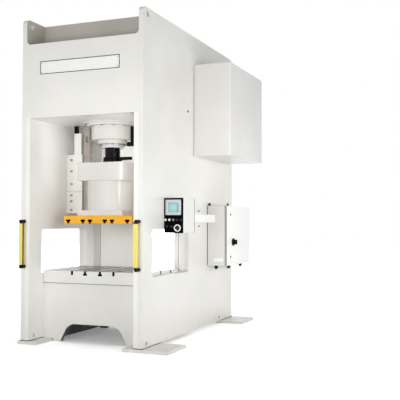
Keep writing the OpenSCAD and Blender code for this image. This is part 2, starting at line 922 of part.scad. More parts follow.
module gib_bolts() color(machined) for (side = [0, 1]) mirror([side, 0, 0])
    gib_bolt_places() rotate([90, 0, 0]) bolt(bolt_head_r, bolt_head_h, bolt_r, bolt_l);

module guide_columns() color(paint) for (side = [0, 1]) mirror([side, 0, 0]) difference() {
    block([column_x, gib_y, gib_top_z], [column_x + column_w, gib_y + column_d, column_top_z]);
    tongue_groove();
}

module column_stops() color(black) for (side = [0, 1]) mirror([side, 0, 0])
    block([column_x + column_w - stop_w, gib_y, column_top_z],
        [column_x + column_w, gib_y + column_d / 2, crown_z]);

// Rear guard

module hinge_places() for (share = hinge_shares)
    translate([hinge_x, hinge_y, door_z + share * (door_top_z - door_z) - hinge_l / 2]) children();

module rear_door() color("#cbc9c4") {
    difference() {
        block([-door_x, wall_y, door_z], [door_x, wall_y + post_t, door_top_z]);
        for (x = [-door_x + door_rib_w, door_rib_w / 2])
            block([x, wall_y + sheet_t, door_z + door_rib_w],
                [x + door_pocket_w, wall_y + post_t + overrun, door_top_z - door_rib_w]);
    }
    hinge_places() difference() {
        union() {
            translate([0, 0, hinge_l / 2 + guide_gap]) cylinder(r = hinge_r, h = hinge_l / 2 - guide_gap);
            block([door_gap / 2, -hinge_r, hinge_l / 2 + guide_gap],
                [hinge_leaf_w, hinge_leaf_t - hinge_r, hinge_l]);
        }
        translate([0, 0, hinge_l / 2 - overrun]) cylinder(r = hinge_pin_r + running, h = hinge_l);
    }
}

module rear_hinge_leaves() color(machined) hinge_places() {
    cylinder(r = hinge_r, h = hinge_l / 2);
    block([-hinge_leaf_w, -hinge_r, 0], [-door_gap / 2, -hinge_r + hinge_leaf_t, hinge_l / 2]);
    cylinder(r = hinge_pin_r, h = hinge_l);
}

module rear_door_handle() color(black) translate([door_x - door_rib_w / 2, wall_y + post_t, handle_z]) {
    for (z = [0, handle_l]) translate([0, 0, z]) rotate([-90, 0, 0]) cylinder(r = handle_r, h = handle_off);
    translate([0, handle_off, -handle_r]) cylinder(r = handle_r, h = handle_l + 2 * handle_r);
}

// Light curtains

module light_curtain() difference() {
    translate([curtain_x - curtain_w / 2, curtain_y - curtain_d / 2, curtain_z]) linear_extrude(curtain_h)
        round_rect([0, 0], [curtain_w, curtain_d], lens_in);
    block([curtain_x - curtain_w / 2 - overrun, curtain_y - lens_w / 2, curtain_z - overrun],
        [curtain_x - curtain_w / 2 + 2 * lens_in, curtain_y + lens_w / 2, curtain_z + curtain_h + overrun]);
}

module left_light_curtain() color(lemon) mirror([1, 0, 0]) light_curtain();

module right_light_curtain() color(lemon) light_curtain();

module curtain_lenses() color(black) for (side = [0, 1]) mirror([side, 0, 0])
    block([curtain_x - curtain_w / 2 + lens_in, curtain_y - lens_w / 2, curtain_z],
        [curtain_x - curtain_w / 2 + 2 * lens_in, curtain_y + lens_w / 2, curtain_z + curtain_h]);

// Swivel bracket: a boss on the frame's front face and a tab on one end of a light curtain
module curtain_bracket() {
    translate([curtain_x + boss_off, curtain_y - tab_d / 2, boss_rise]) rotate([-90, 0, 0])
        cylinder(r = boss_r, h = curtain_reach + tab_d / 2);
    block([curtain_x - curtain_w / 2, curtain_y - tab_d / 2, 0],
        [curtain_x + curtain_w / 2, curtain_y + tab_d / 2, tab_t]);
}

module curtain_brackets() color(black) for (side = [0, 1]) mirror([side, 0, 0]) {
    translate([0, 0, curtain_z + curtain_h]) curtain_bracket();
    translate([0, 0, curtain_z]) mirror([0, 0, 1]) curtain_bracket();
}

// Control panel

module button_place(i)
    translate([outer_x + button_inset + i * button_pitch, panel_y, panel_z + button_rise]) children();

module panel_box() color(paint) difference() {
    block([outer_x, panel_y + panel_t, panel_z], [outer_x + panel_w, panel_y + panel_d, panel_z + panel_h]);
    block([outer_x + sheet_t, panel_y + panel_t - overrun, panel_z + sheet_t],
        [outer_x + panel_w - sheet_t, panel_y + panel_d - sheet_t, panel_z + panel_h - sheet_t]);
}

module panel_front() color(black) difference() {
    block([outer_x, panel_y, panel_z], [outer_x + panel_w, panel_y + panel_t, panel_z + panel_h]);
    for (i = [0 : buttons_n - 1]) button_place(i) rotate([-90, 0, 0]) translate([0, 0, -overrun])
        cylinder(r = button_r + running, h = panel_t + 2 * overrun);
    translate([dial_x, panel_y - overrun, dial_z]) rotate([-90, 0, 0])
        cylinder(r = dial_stem_r + running, h = panel_t + 2 * overrun);
}

// Outline of the screen, or of its bezel, a rim in from the bezel's edge
module screen_outline(rim) translate([panel_mid_x - bezel_w / 2 + rim, bezel_z + rim])
    square([bezel_w - 2 * rim, bezel_h - 2 * rim]);

module panel_bezel() color("silver") xz_plate(panel_y - bezel_t, bezel_t) difference() {
    screen_outline(0);
    screen_outline(bezel_rim);
}

module panel_screen() color("#a8dfe0") xz_plate(panel_y - screen_t, screen_t) screen_outline(bezel_rim);

// Push button: a cap that stands off the panel and a stem that slides in it
module push_button(i) button_place(i) rotate([90, 0, 0]) {
    translate([0, 0, -panel_t]) cylinder(r = button_r, h = panel_t + button_out);
    translate([0, 0, button_out - button_cap_h]) cylinder(r = button_cap_r, h = button_cap_h);
}

module button_1() color("white") push_button(0);

module button_2() color("white") push_button(1);

module button_3() color("gray") push_button(2);

module button_4() color(dark_steel) push_button(3);

module button_5() color(dark_steel) push_button(4);

module handwheel() color("gainsboro") translate([dial_x, panel_y, dial_z]) rotate([90, 0, 0]) {
    translate([0, 0, -panel_t]) cylinder(r = dial_stem_r, h = panel_t + dial_t / 2);
    translate([0, 0, guide_gap]) difference() {
        cylinder(r = dial_r, h = dial_t);
        translate([0, 0, dial_t - dial_dish]) cylinder(r = dial_r - dial_rim, h = dial_dish + overrun);
    }
    rotate(dial_knob_turn) translate([dial_knob_share * dial_r, 0, guide_gap])
        cylinder(r = dial_knob_r, h = dial_t + dial_knob_l);
}

module cable_trunking() color(paint) {
    low = [outer_x, panel_y + panel_d, panel_z + trunk_rise];
    high = [outer_x + trunk_w, junction_y, panel_z + trunk_rise + trunk_h];
    difference() {
        block(low, high);
        block(low + [-overrun, sheet_t, sheet_t], high - [sheet_t, sheet_t, sheet_t]);
    }
    for (z = [low.z - trunk_flange, high.z])
        block([low.x, low.y + trunk_flange, z],
            [low.x + sheet_t, low.y + 2 * trunk_flange + trunk_w, z + trunk_flange]);
}

// Junction box

module junction_box() color(paint) {
    sheet = [sheet_t, sheet_t, sheet_t];
    lip = [0, junction_inset, junction_inset];
    low = [outer_x + junction_foot, junction_y, junction_z];
    high = [junction_face_x - junction_seam, junction_rear_y, junction_top_z];
    difference() {
        union() {
            block(low, high);
            block(low + lip - [junction_foot, 0, 0], high - lip + [junction_seam - junction_gap, 0, 0]);
        }
        block(low + sheet, high - sheet);
        block(low + sheet + lip, high - sheet - lip + [junction_door_t, 0, 0]);
        translate([0, junction_y, junction_z - overrun]) gland_places()
            cylinder(r = gland_r / 2 + seat_gap, h = junction_inset + sheet_t + 2 * overrun);
    }
    for (share = junction_hinge_shares) junction_knuckle(share, false);
}

// Half of a hinge: the lower half carries the pin, the upper half turns on it
module junction_knuckle(share, upper) {
    half = junction_hinge_l / 2 - guide_gap;
    low = upper ? half + guide_gap : 0;
    leaf_x = upper ? 0 : -junction_inset;
    translate([junction_hinge_x, junction_hinge_y, junction_z + share * junction_h]) {
        difference() {
            union() {
                translate([0, 0, low]) cylinder(r = junction_hinge_r, h = half);
                block([leaf_x, -junction_hinge_r, low], [leaf_x + junction_inset, 0, low + half]);
            }
            if (upper) cylinder(r = junction_pin_r + running, h = junction_hinge_l + overrun);
        }
        if (!upper) cylinder(r = junction_pin_r, h = junction_hinge_l);
    }
}

module gland_places() for (i = [0 : len(gland_x_shares) - 1])
    translate([outer_x + gland_x_shares[i] * junction_w, gland_y_shares[i] * junction_l, 0]) children();

module junction_glands() color(black) translate([0, junction_y, junction_z]) gland_places() {
    translate([0, 0, -gland_len]) cylinder(r = gland_r, h = gland_len);
    cylinder(r = gland_r / 2, h = junction_inset);
}

module junction_door() color(paint) {
    difference() {
        block([junction_face_x, junction_y, junction_z], [junction_x, junction_rear_y, junction_top_z]);
        block([junction_face_x - overrun, junction_y + junction_inset, junction_z + junction_inset],
            [junction_x - sheet_t, junction_rear_y - junction_inset, junction_top_z - junction_inset]);
        translate([junction_face_x, switch_y, switch_z]) rotate([0, 90, 0])
            cylinder(r = switch_stem_r + running, h = 2 * junction_door_t);
    }
    for (share = junction_hinge_shares) junction_knuckle(share, true);
}

module main_switch() color(black) translate([junction_x + guide_gap, switch_y, switch_z]) rotate([0, 90, 0]) {
    translate([0, 0, -2 * sheet_t]) cylinder(r = switch_stem_r, h = 2 * sheet_t + switch_knob_t);
    cylinder(r = switch_base / 2, h = switch_base_t);
    cylinder(r = switch_r, h = switch_base_t + switch_knob_t);
    translate([-switch_r, -switch_bar_w / 2, switch_base_t + switch_knob_t])
        cube([2 * switch_r, switch_bar_w, switch_bar_t]);
}

// Section of the drive cabinet's folded cover, a wall in from its outside
module cabinet_section(wall) {
    foot_x = outer_x + cabinet_foot;
    intersection() {
        translate([foot_x + wall, cabinet_y]) square([cabinet_w, cabinet_l]);
        round_rect([foot_x - cabinet_r, cabinet_y + wall],
            [cabinet_w - cabinet_foot + cabinet_r - wall, cabinet_l - 2 * wall], cabinet_r - wall);
    }
}

// Drive cabinet: a folded cover with round outer edges on a narrower foot
module drive_cabinet() color(paint) {
    wall = [0, sheet_t, sheet_t];
    low = [outer_x, cabinet_y + cabinet_inset, cabinet_z + cabinet_inset];
    high = low + [cabinet_foot + sheet_t, cabinet_l - 2 * cabinet_inset, cabinet_h - 2 * cabinet_inset];
    difference() {
        union() {
            translate([0, 0, cabinet_z]) linear_extrude(cabinet_h) cabinet_section(0);
            block(low, high);
        }
        translate([0, 0, cabinet_z + sheet_t]) linear_extrude(cabinet_h - 2 * sheet_t)
            cabinet_section(sheet_t);
        block(low + wall - [overrun, 0, 0], high - wall + [overrun, 0, 0]);
    }
}

left_side_plate();
right_side_plate();
inner_plates();
crown_front_plate();
crown_rear_plate();
crown_cross_plates();
crown_floor_plate();
crown_deck_plate();
bed_front_plate();
bed_rear_plate();
bed_top_plate();
bed_ribs();
rear_posts();
foot_pads();
bolster();
bolster_bolts();
nameplate();
drive_housing();
housing_bolts();
gland_ring();
gland_bolts();
nut_bearings();
drive_nut();
nut_gear();
motor_pinion();
servo_motor();
ram_screw();
screw_foot();
sensor_arm();
slide_body();
slide_plate();
guide_bars();
left_gib();
right_gib();
gib_bolts();
guide_columns();
column_stops();
rear_door();
rear_door_handle();
rear_hinge_leaves();
left_light_curtain();
right_light_curtain();
curtain_lenses();
curtain_brackets();
panel_box();
panel_front();
panel_bezel();
panel_screen();
button_1();
button_2();
button_3();
button_4();
button_5();
handwheel();
cable_trunking();
junction_box();
junction_glands();
junction_door();
main_switch();
drive_cabinet();
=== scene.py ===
"""Looks of a servo press: finishes for every node of the frame, trim, studio light and camera.

Lengths are metres, +Z is up, +X is to the right of someone facing the press and +Y is to its back.
"""
import math

import bpy
import numpy as np
from mathutils import Matrix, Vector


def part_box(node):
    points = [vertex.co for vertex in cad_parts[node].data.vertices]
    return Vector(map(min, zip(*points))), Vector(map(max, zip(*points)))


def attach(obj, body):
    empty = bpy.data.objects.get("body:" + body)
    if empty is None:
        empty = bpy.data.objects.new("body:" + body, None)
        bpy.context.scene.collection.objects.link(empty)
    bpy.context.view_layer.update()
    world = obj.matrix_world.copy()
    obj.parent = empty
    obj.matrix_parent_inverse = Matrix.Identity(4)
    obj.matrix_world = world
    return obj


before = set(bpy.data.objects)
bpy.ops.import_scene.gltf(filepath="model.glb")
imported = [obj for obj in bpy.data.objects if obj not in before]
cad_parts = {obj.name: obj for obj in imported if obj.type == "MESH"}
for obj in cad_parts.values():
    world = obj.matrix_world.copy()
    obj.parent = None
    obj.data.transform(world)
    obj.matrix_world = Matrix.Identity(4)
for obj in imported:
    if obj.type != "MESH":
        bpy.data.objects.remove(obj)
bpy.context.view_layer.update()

MM = 0.001
X, Y, Z = (1, 0, 0), (0, 1, 0), (0, 0, 1)
FORWARD, LEFTWARD, DOWN = (0, -1, 0), (-1, 0, 0), (0, 0, -1)
# A side of a box that has no limit lies this far out.
FAR = 100.0


# Colour and shader helpers

def linear(hex_colour):
    """Linear RGBA of an sRGB hex colour."""
    srgb = np.array([int(hex_colour[i:i + 2], 16) / 255 for i in (1, 3, 5)])
    low = srgb / 12.92
    high = ((srgb + 0.055) / 1.055) ** 2.4
    return (*np.where(srgb <= 0.04045, low, high), 1.0)


def add(tree, kind, sockets=None, **settings):
    """Adds a shader node. Sockets holds values to set and outputs to link, settings holds its properties."""
    node = tree.nodes.new("ShaderNode" + kind)
    for key, value in settings.items():
        setattr(node, key, value)
    for key, value in (sockets or {}).items():
        if isinstance(value, bpy.types.NodeSocket):
            tree.links.new(value, node.inputs[key])
        else:
            node.inputs[key].default_value = value
    return node


def new_material(name):
    """An empty material with its tree, its surface shader and a node that gives Object coordinates."""
    material = bpy.data.materials.new(name)
    material.use_nodes = True
    tree = material.node_tree
    coords = add(tree, "TexCoord").outputs["Object"]
    return material, tree, tree.nodes["Principled BSDF"], coords


def grain(tree, coords, size, low=0.0, high=1.0, detail=3.0, stretch=(1.0, 1.0, 1.0)):
    """Noise whose lumps measure about size, drawn out along an axis where stretch is above 1.
    Its middle range is spread from low to high."""
    scale = [1.0 / (size * s) for s in stretch]
    placed = add(tree, "Mapping", {"Vector": coords, "Scale": scale}).outputs[0]
    lumps = add(tree, "TexNoise", {"Vector": placed, "Scale": 1.0, "Detail": detail}).outputs["Fac"]
    return add(tree, "MapRange", {"Value": lumps, "From Min": 0.3, "From Max": 0.7, "To Min": low,
                                  "To Max": high}).outputs[0]


def inside(tree, coords, low, high):
    """1 between two corners and 0 outside: the largest of |place - centre| - half size is below zero."""
    centre = (np.array(low) + np.array(high)) / 2
    half = (np.array(high) - np.array(low)) / 2
    away = add(tree, "VectorMath", {0: coords, 1: centre}, operation="SUBTRACT").outputs[0]
    away = add(tree, "VectorMath", {0: away}, operation="ABSOLUTE").outputs[0]
    over = add(tree, "VectorMath", {0: away, 1: half}, operation="SUBTRACT").outputs[0]
    x, y, z = add(tree, "SeparateXYZ", {"Vector": over}).outputs
    most = add(tree, "Math", {0: x, 1: y}, operation="MAXIMUM").outputs[0]
    most = add(tree, "Math", {0: most, 1: z}, operation="MAXIMUM").outputs[0]
    return add(tree, "Math", {0: most, 1: 0.0}, operation="LESS_THAN").outputs[0]


def layers(tree, colour, *coats):
    """Colour with coats of (mask, colour) laid over it in turn, each where its mask is 1."""
    for mask, coat in coats:
        first, second = (linear(c) if isinstance(c, str) else c for c in (colour, coat))
        colour = add(tree, "Mix", {"Factor": mask, 6: first, 7: second}, data_type="RGBA").outputs[2]
    return colour


def relief(tree, shader, height, depth, edge=0.0):
    """Bump of a given depth, on edges that look rounded to the radius edge."""
    sockets = {"Height": height, "Distance": depth, "Strength": 1.0}
    if edge:
        sockets["Normal"] = add(tree, "Bevel", {"Radius": edge}, samples=4).outputs[0]
    tree.links.new(add(tree, "Bump", sockets).outputs[0], shader.inputs["Normal"])


# Finishes

def enamel(name, dark, light, roughness=0.34, edge=4 * MM, other_paint=()):
    """Sprayed machine enamel: an even semi-gloss coat with faint orange peel, a slow drift of tone, and a
    colour that is darker in patches towards the floor and fades out upwards.
    The peel is really about 2 mm across; it is drawn at 9 mm so that it shows.
    Other paint is a list of (low corner, high corner, colour): the coat inside a box, used here for painted
    shade and painted light."""
    material, tree, shader, coords = new_material(name)
    colour = layers(tree, dark, (grain(tree, coords, 700 * MM), light))
    height = add(tree, "SeparateXYZ", {"Vector": coords}).outputs["Z"]
    floor_darkening_top = 500 * MM
    near_floor = add(tree, "MapRange", {"Value": height, "From Min": floor_darkening_top, "From Max": 0.0, "To Min": 0.0,
                                        "To Max": 1.0}).outputs[0]
    drifts = grain(tree, coords, 130 * MM, 0.08, 0.3)
    floor_darkening = add(tree, "Math", {0: near_floor, 1: drifts}, operation="MULTIPLY").outputs[0]
    # Darker in patches towards the floor, fading out upwards.
    coats = [(floor_darkening, "#CFC9C1")]
    coats += [(inside(tree, coords, low, high), coat) for low, high, coat in other_paint]
    tree.links.new(layers(tree, colour, *coats), shader.inputs["Base Color"])
    sheen = grain(tree, coords, 60 * MM, roughness - 0.02, roughness + 0.03)
    tree.links.new(sheen, shader.inputs["Roughness"])
    shader.inputs["Coat Weight"].default_value = 0.2
    shader.inputs["Coat Roughness"].default_value = 0.12
    relief(tree, shader, grain(tree, coords, 9 * MM, detail=1.0), 0.05 * MM, edge)
    return material


def milled_steel(name, dark, light, roughness=0.32, along=(1.0, 14.0, 1.0), depth=0.1 * MM):
    """Milled or ground steel: bright metal with fine tool lines drawn along one axis and oily patches.
    The lines are really about 0.3 mm apart; they are drawn at 4 mm so that they show."""
    material, tree, shader, coords = new_material(name)
    lines = grain(tree, coords, 4 * MM, detail=2.0, stretch=along)
    tree.links.new(layers(tree, dark, (lines, light)), shader.inputs["Base Color"])
    patches = grain(tree, coords, 45 * MM, roughness - 0.08, roughness + 0.12)
    tree.links.new(patches, shader.inputs["Roughness"])
    shader.inputs["Metallic"].default_value = 1.0
    relief(tree, shader, lines, depth, 1.5 * MM)
    return material


def moulded_plastic(name, dark, light, roughness=0.42, specular=0.5):
    """Moulded plastic or rubber: a body dyed through, with the fine pitted skin of a spark-eroded mould.
    The pits are really about 1 mm apart; they are drawn at 3 mm so that they show."""
    material, tree, shader, coords = new_material(name)
    skin = grain(tree, coords, 3 * MM)
    tree.links.new(layers(tree, dark, (skin, light)), shader.inputs["Base Color"])
    sheen = grain(tree, coords, 12 * MM, roughness - 0.05, roughness + 0.08)
    tree.links.new(sheen, shader.inputs["Roughness"])
    shader.inputs["Specular IOR Level"].default_value = specular
    relief(tree, shader, skin, 0.08 * MM, 1.2 * MM)
    return material


def bolster_finish():
    """Painted block whose top is milled and oiled, with its slots drawn near black as painted shade over oily
    steel, and a shaded joint along its foot.
    """
    material, tree, shader, coords = new_material("bolster_milled_and_painted")
    low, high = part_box("bolster")
    skin = 0.6 * MM
    joint_h = 8 * MM
    core = inside(tree, coords, (low.x + skin, low.y + skin, -FAR), (high.x - skin, high.y - skin, FAR))
    top = inside(tree, coords, (-FAR, -FAR, high.z - skin), (FAR, FAR, FAR))
    joint = inside(tree, coords, (-FAR, -FAR, -FAR), (FAR, FAR, low.z + joint_h))
    lines = grain(tree, coords, 5 * MM, stretch=(14.0, 1.0, 1.0))
    oil = grain(tree, coords, 90 * MM, 0.0, 0.6)
    steel = layers(tree, "#5F5D5B", (lines, "#A9A8A5"), (oil, "#4A4846"))
    paint = layers(tree, PAINT[0], (grain(tree, coords, 700 * MM), PAINT[1]))
    # Painted shade: the slots and holes inside the block are drawn near black.
    colour = layers(tree, paint, (core, "#0C0B0A"), (top, steel), (joint, "#8F8C87"))
    tree.links.new(colour, shader.inputs["Base Color"])
    tree.links.new(core, shader.inputs["Metallic"])
    oiled = grain(tree, coords, 90 * MM, 0.14, 0.3)
    rough = add(tree, "Mix", {"Factor": core, 2: 0.36, 3: oiled}, data_type="FLOAT").outputs[0]
    tree.links.new(rough, shader.inputs["Roughness"])
    relief(tree, shader, lines, 0.05 * MM, 2 * MM)
    return material


def slide_plate_finish():
    """Amber enamel on the outside, bare milled steel underneath, and slots drawn near black as painted shade.
    """
    material, tree, shader, coords = new_material("slide_plate_amber_enamel")
    low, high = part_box("slide_plate")
    skin = 0.6 * MM
    core = inside(tree, coords, (low.x + skin, low.y + skin, low.z),
                  (high.x - skin, high.y - skin, high.z - skin))
    under = inside(tree, coords, (-FAR, -FAR, -FAR), (FAR, FAR, low.z + skin))
    amber = layers(tree, "#EFA91E", (grain(tree, coords, 300 * MM), "#F6B92F"))
    lines = grain(tree, coords, 5 * MM, stretch=(1.0, 14.0, 1.0))
    steel = layers(tree, "#6E6D6B", (lines, "#9C9B98"))
    # Painted shade: the slots inside the plate are drawn near black.
    tree.links.new(layers(tree, amber, (core, "#0B0908"), (under, steel)), shader.inputs["Base Color"])
    tree.links.new(under, shader.inputs["Metallic"])
    tree.links.new(grain(tree, coords, 60 * MM, 0.32, 0.42), shader.inputs["Roughness"])
    relief(tree, shader, grain(tree, coords, 9 * MM, detail=1.0), 0.05 * MM, 3 * MM)
    return material


def nameplate_finish():
    """White coated plate, bare, with a black painted rim that stands proud of its field."""
    material, tree, shader, coords = new_material("nameplate_coated")
    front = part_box("nameplate")[0].y
    rim_depth = 1.5 * MM
    rim = inside(tree, coords, (-FAR, -FAR, -FAR), (FAR, front + rim_depth, FAR))
    field = layers(tree, "#F1F1EF", (grain(tree, coords, 80 * MM), "#F7F7F6"))
    tree.links.new(layers(tree, field, (rim, "#0E0E0E")), shader.inputs["Base Color"])
    tree.links.new(grain(tree, coords, 30 * MM, 0.3, 0.4), shader.inputs["Roughness"])
    return material


def rear_door_finish():
    """Pale grey enamel on the guard door's frame and on the sheet by its hinges, and clear polycarbonate in
    the other half: all the light that meets the clear sheet goes through it, with a faint haze."""
    material, tree, shader, coords = new_material("rear_door_enamel_and_clear_polycarbonate")
    low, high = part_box("rear_door")
    rib = 60 * MM
    sheet_depth = 4.5 * MM
    clear_rough = 0.06
    sheet = inside(tree, coords, (rib / 2, -FAR, low.z + rib),
                   (high.x - rib, low.y + sheet_depth, high.z - rib))
    grey = layers(tree, "#EBEAE5", (grain(tree, coords, 700 * MM), "#F0EFEA"))
    tree.links.new(layers(tree, grey, (sheet, "#FAFCFC")), shader.inputs["Base Color"])
    tree.links.new(sheet, shader.inputs["Transmission Weight"])
    satin = grain(tree, coords, 60 * MM, 0.41, 0.5)
    rough = add(tree, "Mix", {"Factor": sheet, 2: satin, 3: clear_rough}, data_type="FLOAT").outputs[0]
    tree.links.new(rough, shader.inputs["Roughness"])
    return material


def handwheel_finish():
    """White moulded wheel with a dark dish: black from the dish's floor back, within its radius."""
    material, tree, shader, coords = new_material("handwheel_white_and_black_plastic")
    low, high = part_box("handwheel")
    dish_r, dish_floor_rise, slack = 32.5 * MM, 7.3 * MM, 0.7 * MM
    centre = ((low.x + high.x) / 2, 0.0, (low.z + high.z) / 2)
    away = add(tree, "VectorMath", {0: coords, 1: centre}, operation="SUBTRACT").outputs[0]
    away = add(tree, "VectorMath", {0: away, 1: (1.0, 0.0, 1.0)}, operation="MULTIPLY").outputs[0]
    radius = add(tree, "VectorMath", {0: away}, operation="LENGTH").outputs["Value"]
    round_dish = add(tree, "Math", {0: radius, 1: dish_r}, operation="LESS_THAN").outputs[0]
    dish_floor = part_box("panel_front")[0].y - dish_floor_rise
    deep = inside(tree, coords, (-FAR, dish_floor - slack, -FAR), (FAR, FAR, FAR))
    dish = add(tree, "Math", {0: round_dish, 1: deep}, operation="MULTIPLY").outputs[0]
    white = layers(tree, "#EFEFEC", (grain(tree, coords, 3 * MM), "#F5F5F3"))
    tree.links.new(layers(tree, white, (dish, "#0D0D0E")), shader.inputs["Base Color"])
    tree.links.new(grain(tree, coords, 12 * MM, 0.28, 0.36), shader.inputs["Roughness"])
    return material


def screen_finish():
    """Touch screen: a pale cyan page, brighter in the middle, with a paler border, a bar and a key column."""
    material, tree, shader, coords = new_material("screen_glass")
    low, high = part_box("panel_screen")
    middle = (np.array(low) + np.array(high)) / 2
    half = (np.array(high) - np.array(low)) / 2
    placed = add(tree, "VectorMath", {0: coords, 1: middle}, operation="SUBTRACT").outputs[0]
    wide = add(tree, "Mapping", {"Vector": placed, "Scale": [9.0, 9.0, 11.0]}).outputs[0]
    glow = add(tree, "TexGradient", {"Vector": wide}, gradient_type="SPHERICAL").outputs["Fac"]
    edge, key_w, key_step, key_gap, bar_h = 9 * MM, 21 * MM, 22 * MM, 4 * MM, 13 * MM
    side, top = half[0] - edge, half[2] - edge
    page = inside(tree, placed, (-side, -FAR, -top), (side, FAR, top))
    keys = inside(tree, placed, (side - key_w, -FAR, -top), (side, FAR, top - key_w))
    height = add(tree, "SeparateXYZ", {"Vector": placed}).outputs["Z"]
    row = add(tree, "Math", {0: height, 1: key_step, 2: 0.0}, operation="WRAP").outputs[0]
    gap = add(tree, "Math", {0: row, 1: key_gap}, operation="GREATER_THAN").outputs[0]
    keys = add(tree, "Math", {0: keys, 1: gap}, operation="MULTIPLY").outputs[0]
    bar = inside(tree, placed, (-side, -FAR, top - bar_h), (side, FAR, top))
    lit = layers(tree, "#86A6A8", (glow, "#A4D2CF"))
    colour = layers(tree, "#BFD0D1", (page, lit), (keys, "#83A2A5"), (bar, "#93ADAF"))
    tree.links.new(colour, shader.inputs["Base Color"])
    tree.links.new(colour, shader.inputs["Emission Color"])
    shader.inputs["Emission Strength"].default_value = 0.06
    shader.inputs["Roughness"].default_value = 0.14
    return material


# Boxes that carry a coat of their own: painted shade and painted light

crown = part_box("crown_front_plate")
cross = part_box("crown_cross_plates")
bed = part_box("bed_front_plate")
bed_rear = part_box("bed_rear_plate")
bed_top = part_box("bed_top_plate")
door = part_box("junction_door")
SKIN = 1.5 * MM
# Painted shade: a greyer coat inside the open crown, from the foot of its cross plates up, but not on its
# front and rear faces.
CROWN_TOP_PAINTED_SHADE = ((crown[0].x - SKIN, crown[0].y + SKIN, cross[0].z),
                    (crown[1].x + SKIN, -crown[0].y - SKIN, FAR))
# Painted shade: near black inside the bed and on the cut edges of its arches, behind its outer faces.
BED_INSIDE_PAINTED_SHADE = ((bed[0].x + SKIN, bed[0].y + SKIN, -FAR),
              (bed[1].x - SKIN, bed_rear[1].y - SKIN, bed_top[0].z + SKIN))
# Painted light: the right half of the rear posts is drawn near white.
RIGHT_HALF_PAINTED_LIGHT = ((0.0, -FAR, -FAR), (FAR, FAR, FAR))
# Painted shade: grey on most of the junction door's narrow front face.
edge_shade_inset, edge_shade_depth, edge_shade_margin = 9 * MM, 1 * MM, 0.5 * MM
DOOR_EDGE_PAINTED_SHADE = ((door[0].x + edge_shade_inset, door[0].y - edge_shade_depth, -FAR), (door[1].x - edge_shade_margin, door[0].y + edge_shade_depth, FAR))


# Materials

# Sprayed enamel on thick plate: pale and semi-gloss, with painted shade: greyer in the open crown and dark
# under the bed.
PAINT = ("#E5E4DF", "#EDECE8")
WHITE = enamel("off_white_machine_enamel", *PAINT, other_paint=[
    (*CROWN_TOP_PAINTED_SHADE, "#BBB7AE"), (*BED_INSIDE_PAINTED_SHADE, "#2E2C29")])
# The same on smooth castings, drawn darker as painted shade and glossier, so that it mirrors the lights in
# soft bands.
CAST_WHITE_PAINTED_SHADE = enamel("off_white_enamel_on_casting_with_painted_shade", "#DCDAD5", "#E3E1DD", 0.15, 6 * MM)
# A lighter copy of the coat in the die space and under the crown: painted light, which keeps its walls
# bright.
INNER_WHITE_PAINTED_LIGHT = enamel("enamel_with_painted_light_in_die_space", "#F0EFEB", "#F5F4F1")
# Flatter greys as painted shade on the posts behind the table, whose right half is painted light near white,
# and on the plates above the crown.
POSTS_PAINTED_SHADE_AND_LIGHT = enamel("post_enamel_with_painted_shade_and_light", "#C6C5C0", "#CECDC8", 0.45, other_paint=[(*RIGHT_HALF_PAINTED_LIGHT, "#F8F8F6")])
# Painted shade: the cross plates above the crown are greyed.
CROSS_PLATES_PAINTED_SHADE = enamel("enamel_greyed_as_painted_shade", "#B6B2A9", "#C1BDB4", 0.45)
REAR_DOOR = rear_door_finish()
# Powder coat on folded sheet: a flatter sheen and crisp edges, with painted shade in grey on the door's front
# edge.
SHEET_WHITE = enamel("off_white_powder_coat_on_sheet", "#DFDEDA", "#E6E5E2", 0.4, 2 * MM)
DOOR_WHITE = enamel("white_powder_coat_on_sheet", "#F6F6F4", "#FAFAF8", 0.4, 2 * MM,
                    [(*DOOR_EDGE_PAINTED_SHADE, "#A09F9C")])
CURTAIN_LEMON = enamel("lemon_powder_coat", "#EAD65E", "#F0DE74", 0.42, 2 * MM)
# Black paints: satin on the motor, and near black as painted shade on the ribs in the bed.
MOTOR_BLACK = enamel("black_motor_enamel", "#232426", "#2D2E31", 0.4, 2 * MM)
BED_PAINTED_SHADE = enamel("black_painted_shade_inside_bed", "#2A2826", "#33312E", 0.6)
# Bare and plated metal: lines of the tool along the cut, warm on ground guides, nearly black where oiled.
STEEL = milled_steel("milled_steel", "#7B7B7C", "#A9A9AA")
ZINC = milled_steel("bright_zinc_plated_steel", "#8F9090", "#BFC0C0", 0.34, (1.0, 1.0, 1.0))
GUIDE_STEEL = milled_steel("ground_guide_steel", "#B3ACA5", "#C1BAB3", 0.3, (1.0, 1.0, 20.0), 0.02 * MM)
BLACK_STEEL = milled_steel("blackened_oiled_steel", "#17181A", "#2A2C30", 0.24, (1.0, 1.0, 16.0))
ALUMINIUM = milled_steel("satin_anodised_aluminium", "#D2D3D4", "#DFE0E1", 0.38, (8.0, 1.0, 1.0))
# Plastics and rubber: dull on film and seals, shiny on lenses and caps.
BLACK_PLASTIC = moulded_plastic("black_moulded_plastic", "#070708", "#0E0E0F", 0.45, 0.1)
PANEL_FILM = moulded_plastic("matt_black_panel_film", "#040405", "#080809", 0.6, 0.03)
SEAL_RUBBER = moulded_plastic("black_seal_rubber", "#19191A", "#232324", 0.6, 0.2)
GREY_SEAL = moulded_plastic("grey_foam_seal", "#7E7D7A", "#8D8C89", 0.7, 0.2)
LENS = moulded_plastic("dark_infrared_window", "#140D0F", "#1C1315", 0.12, 0.4)
WHITE_CAP = moulded_plastic("white_button_plastic", "#EDEDEA", "#F4F4F2", 0.3)
GREY_CAP = moulded_plastic("grey_button_plastic", "#7C7D7E", "#8A8B8C", 0.3)
DARK_CAP = moulded_plastic("dark_button_plastic", "#1E1E20", "#28282A", 0.3, 0.3)
GREY_PLASTIC = moulded_plastic("pale_grey_polyamide", "#AEADA9", "#BBBAB6", 0.5, 0.3)
# Pieces with more than one finish.
BOLSTER = bolster_finish()
AMBER = slide_plate_finish()
NAMEPLATE = nameplate_finish()
HANDWHEEL = handwheel_finish()
SCREEN = screen_finish()

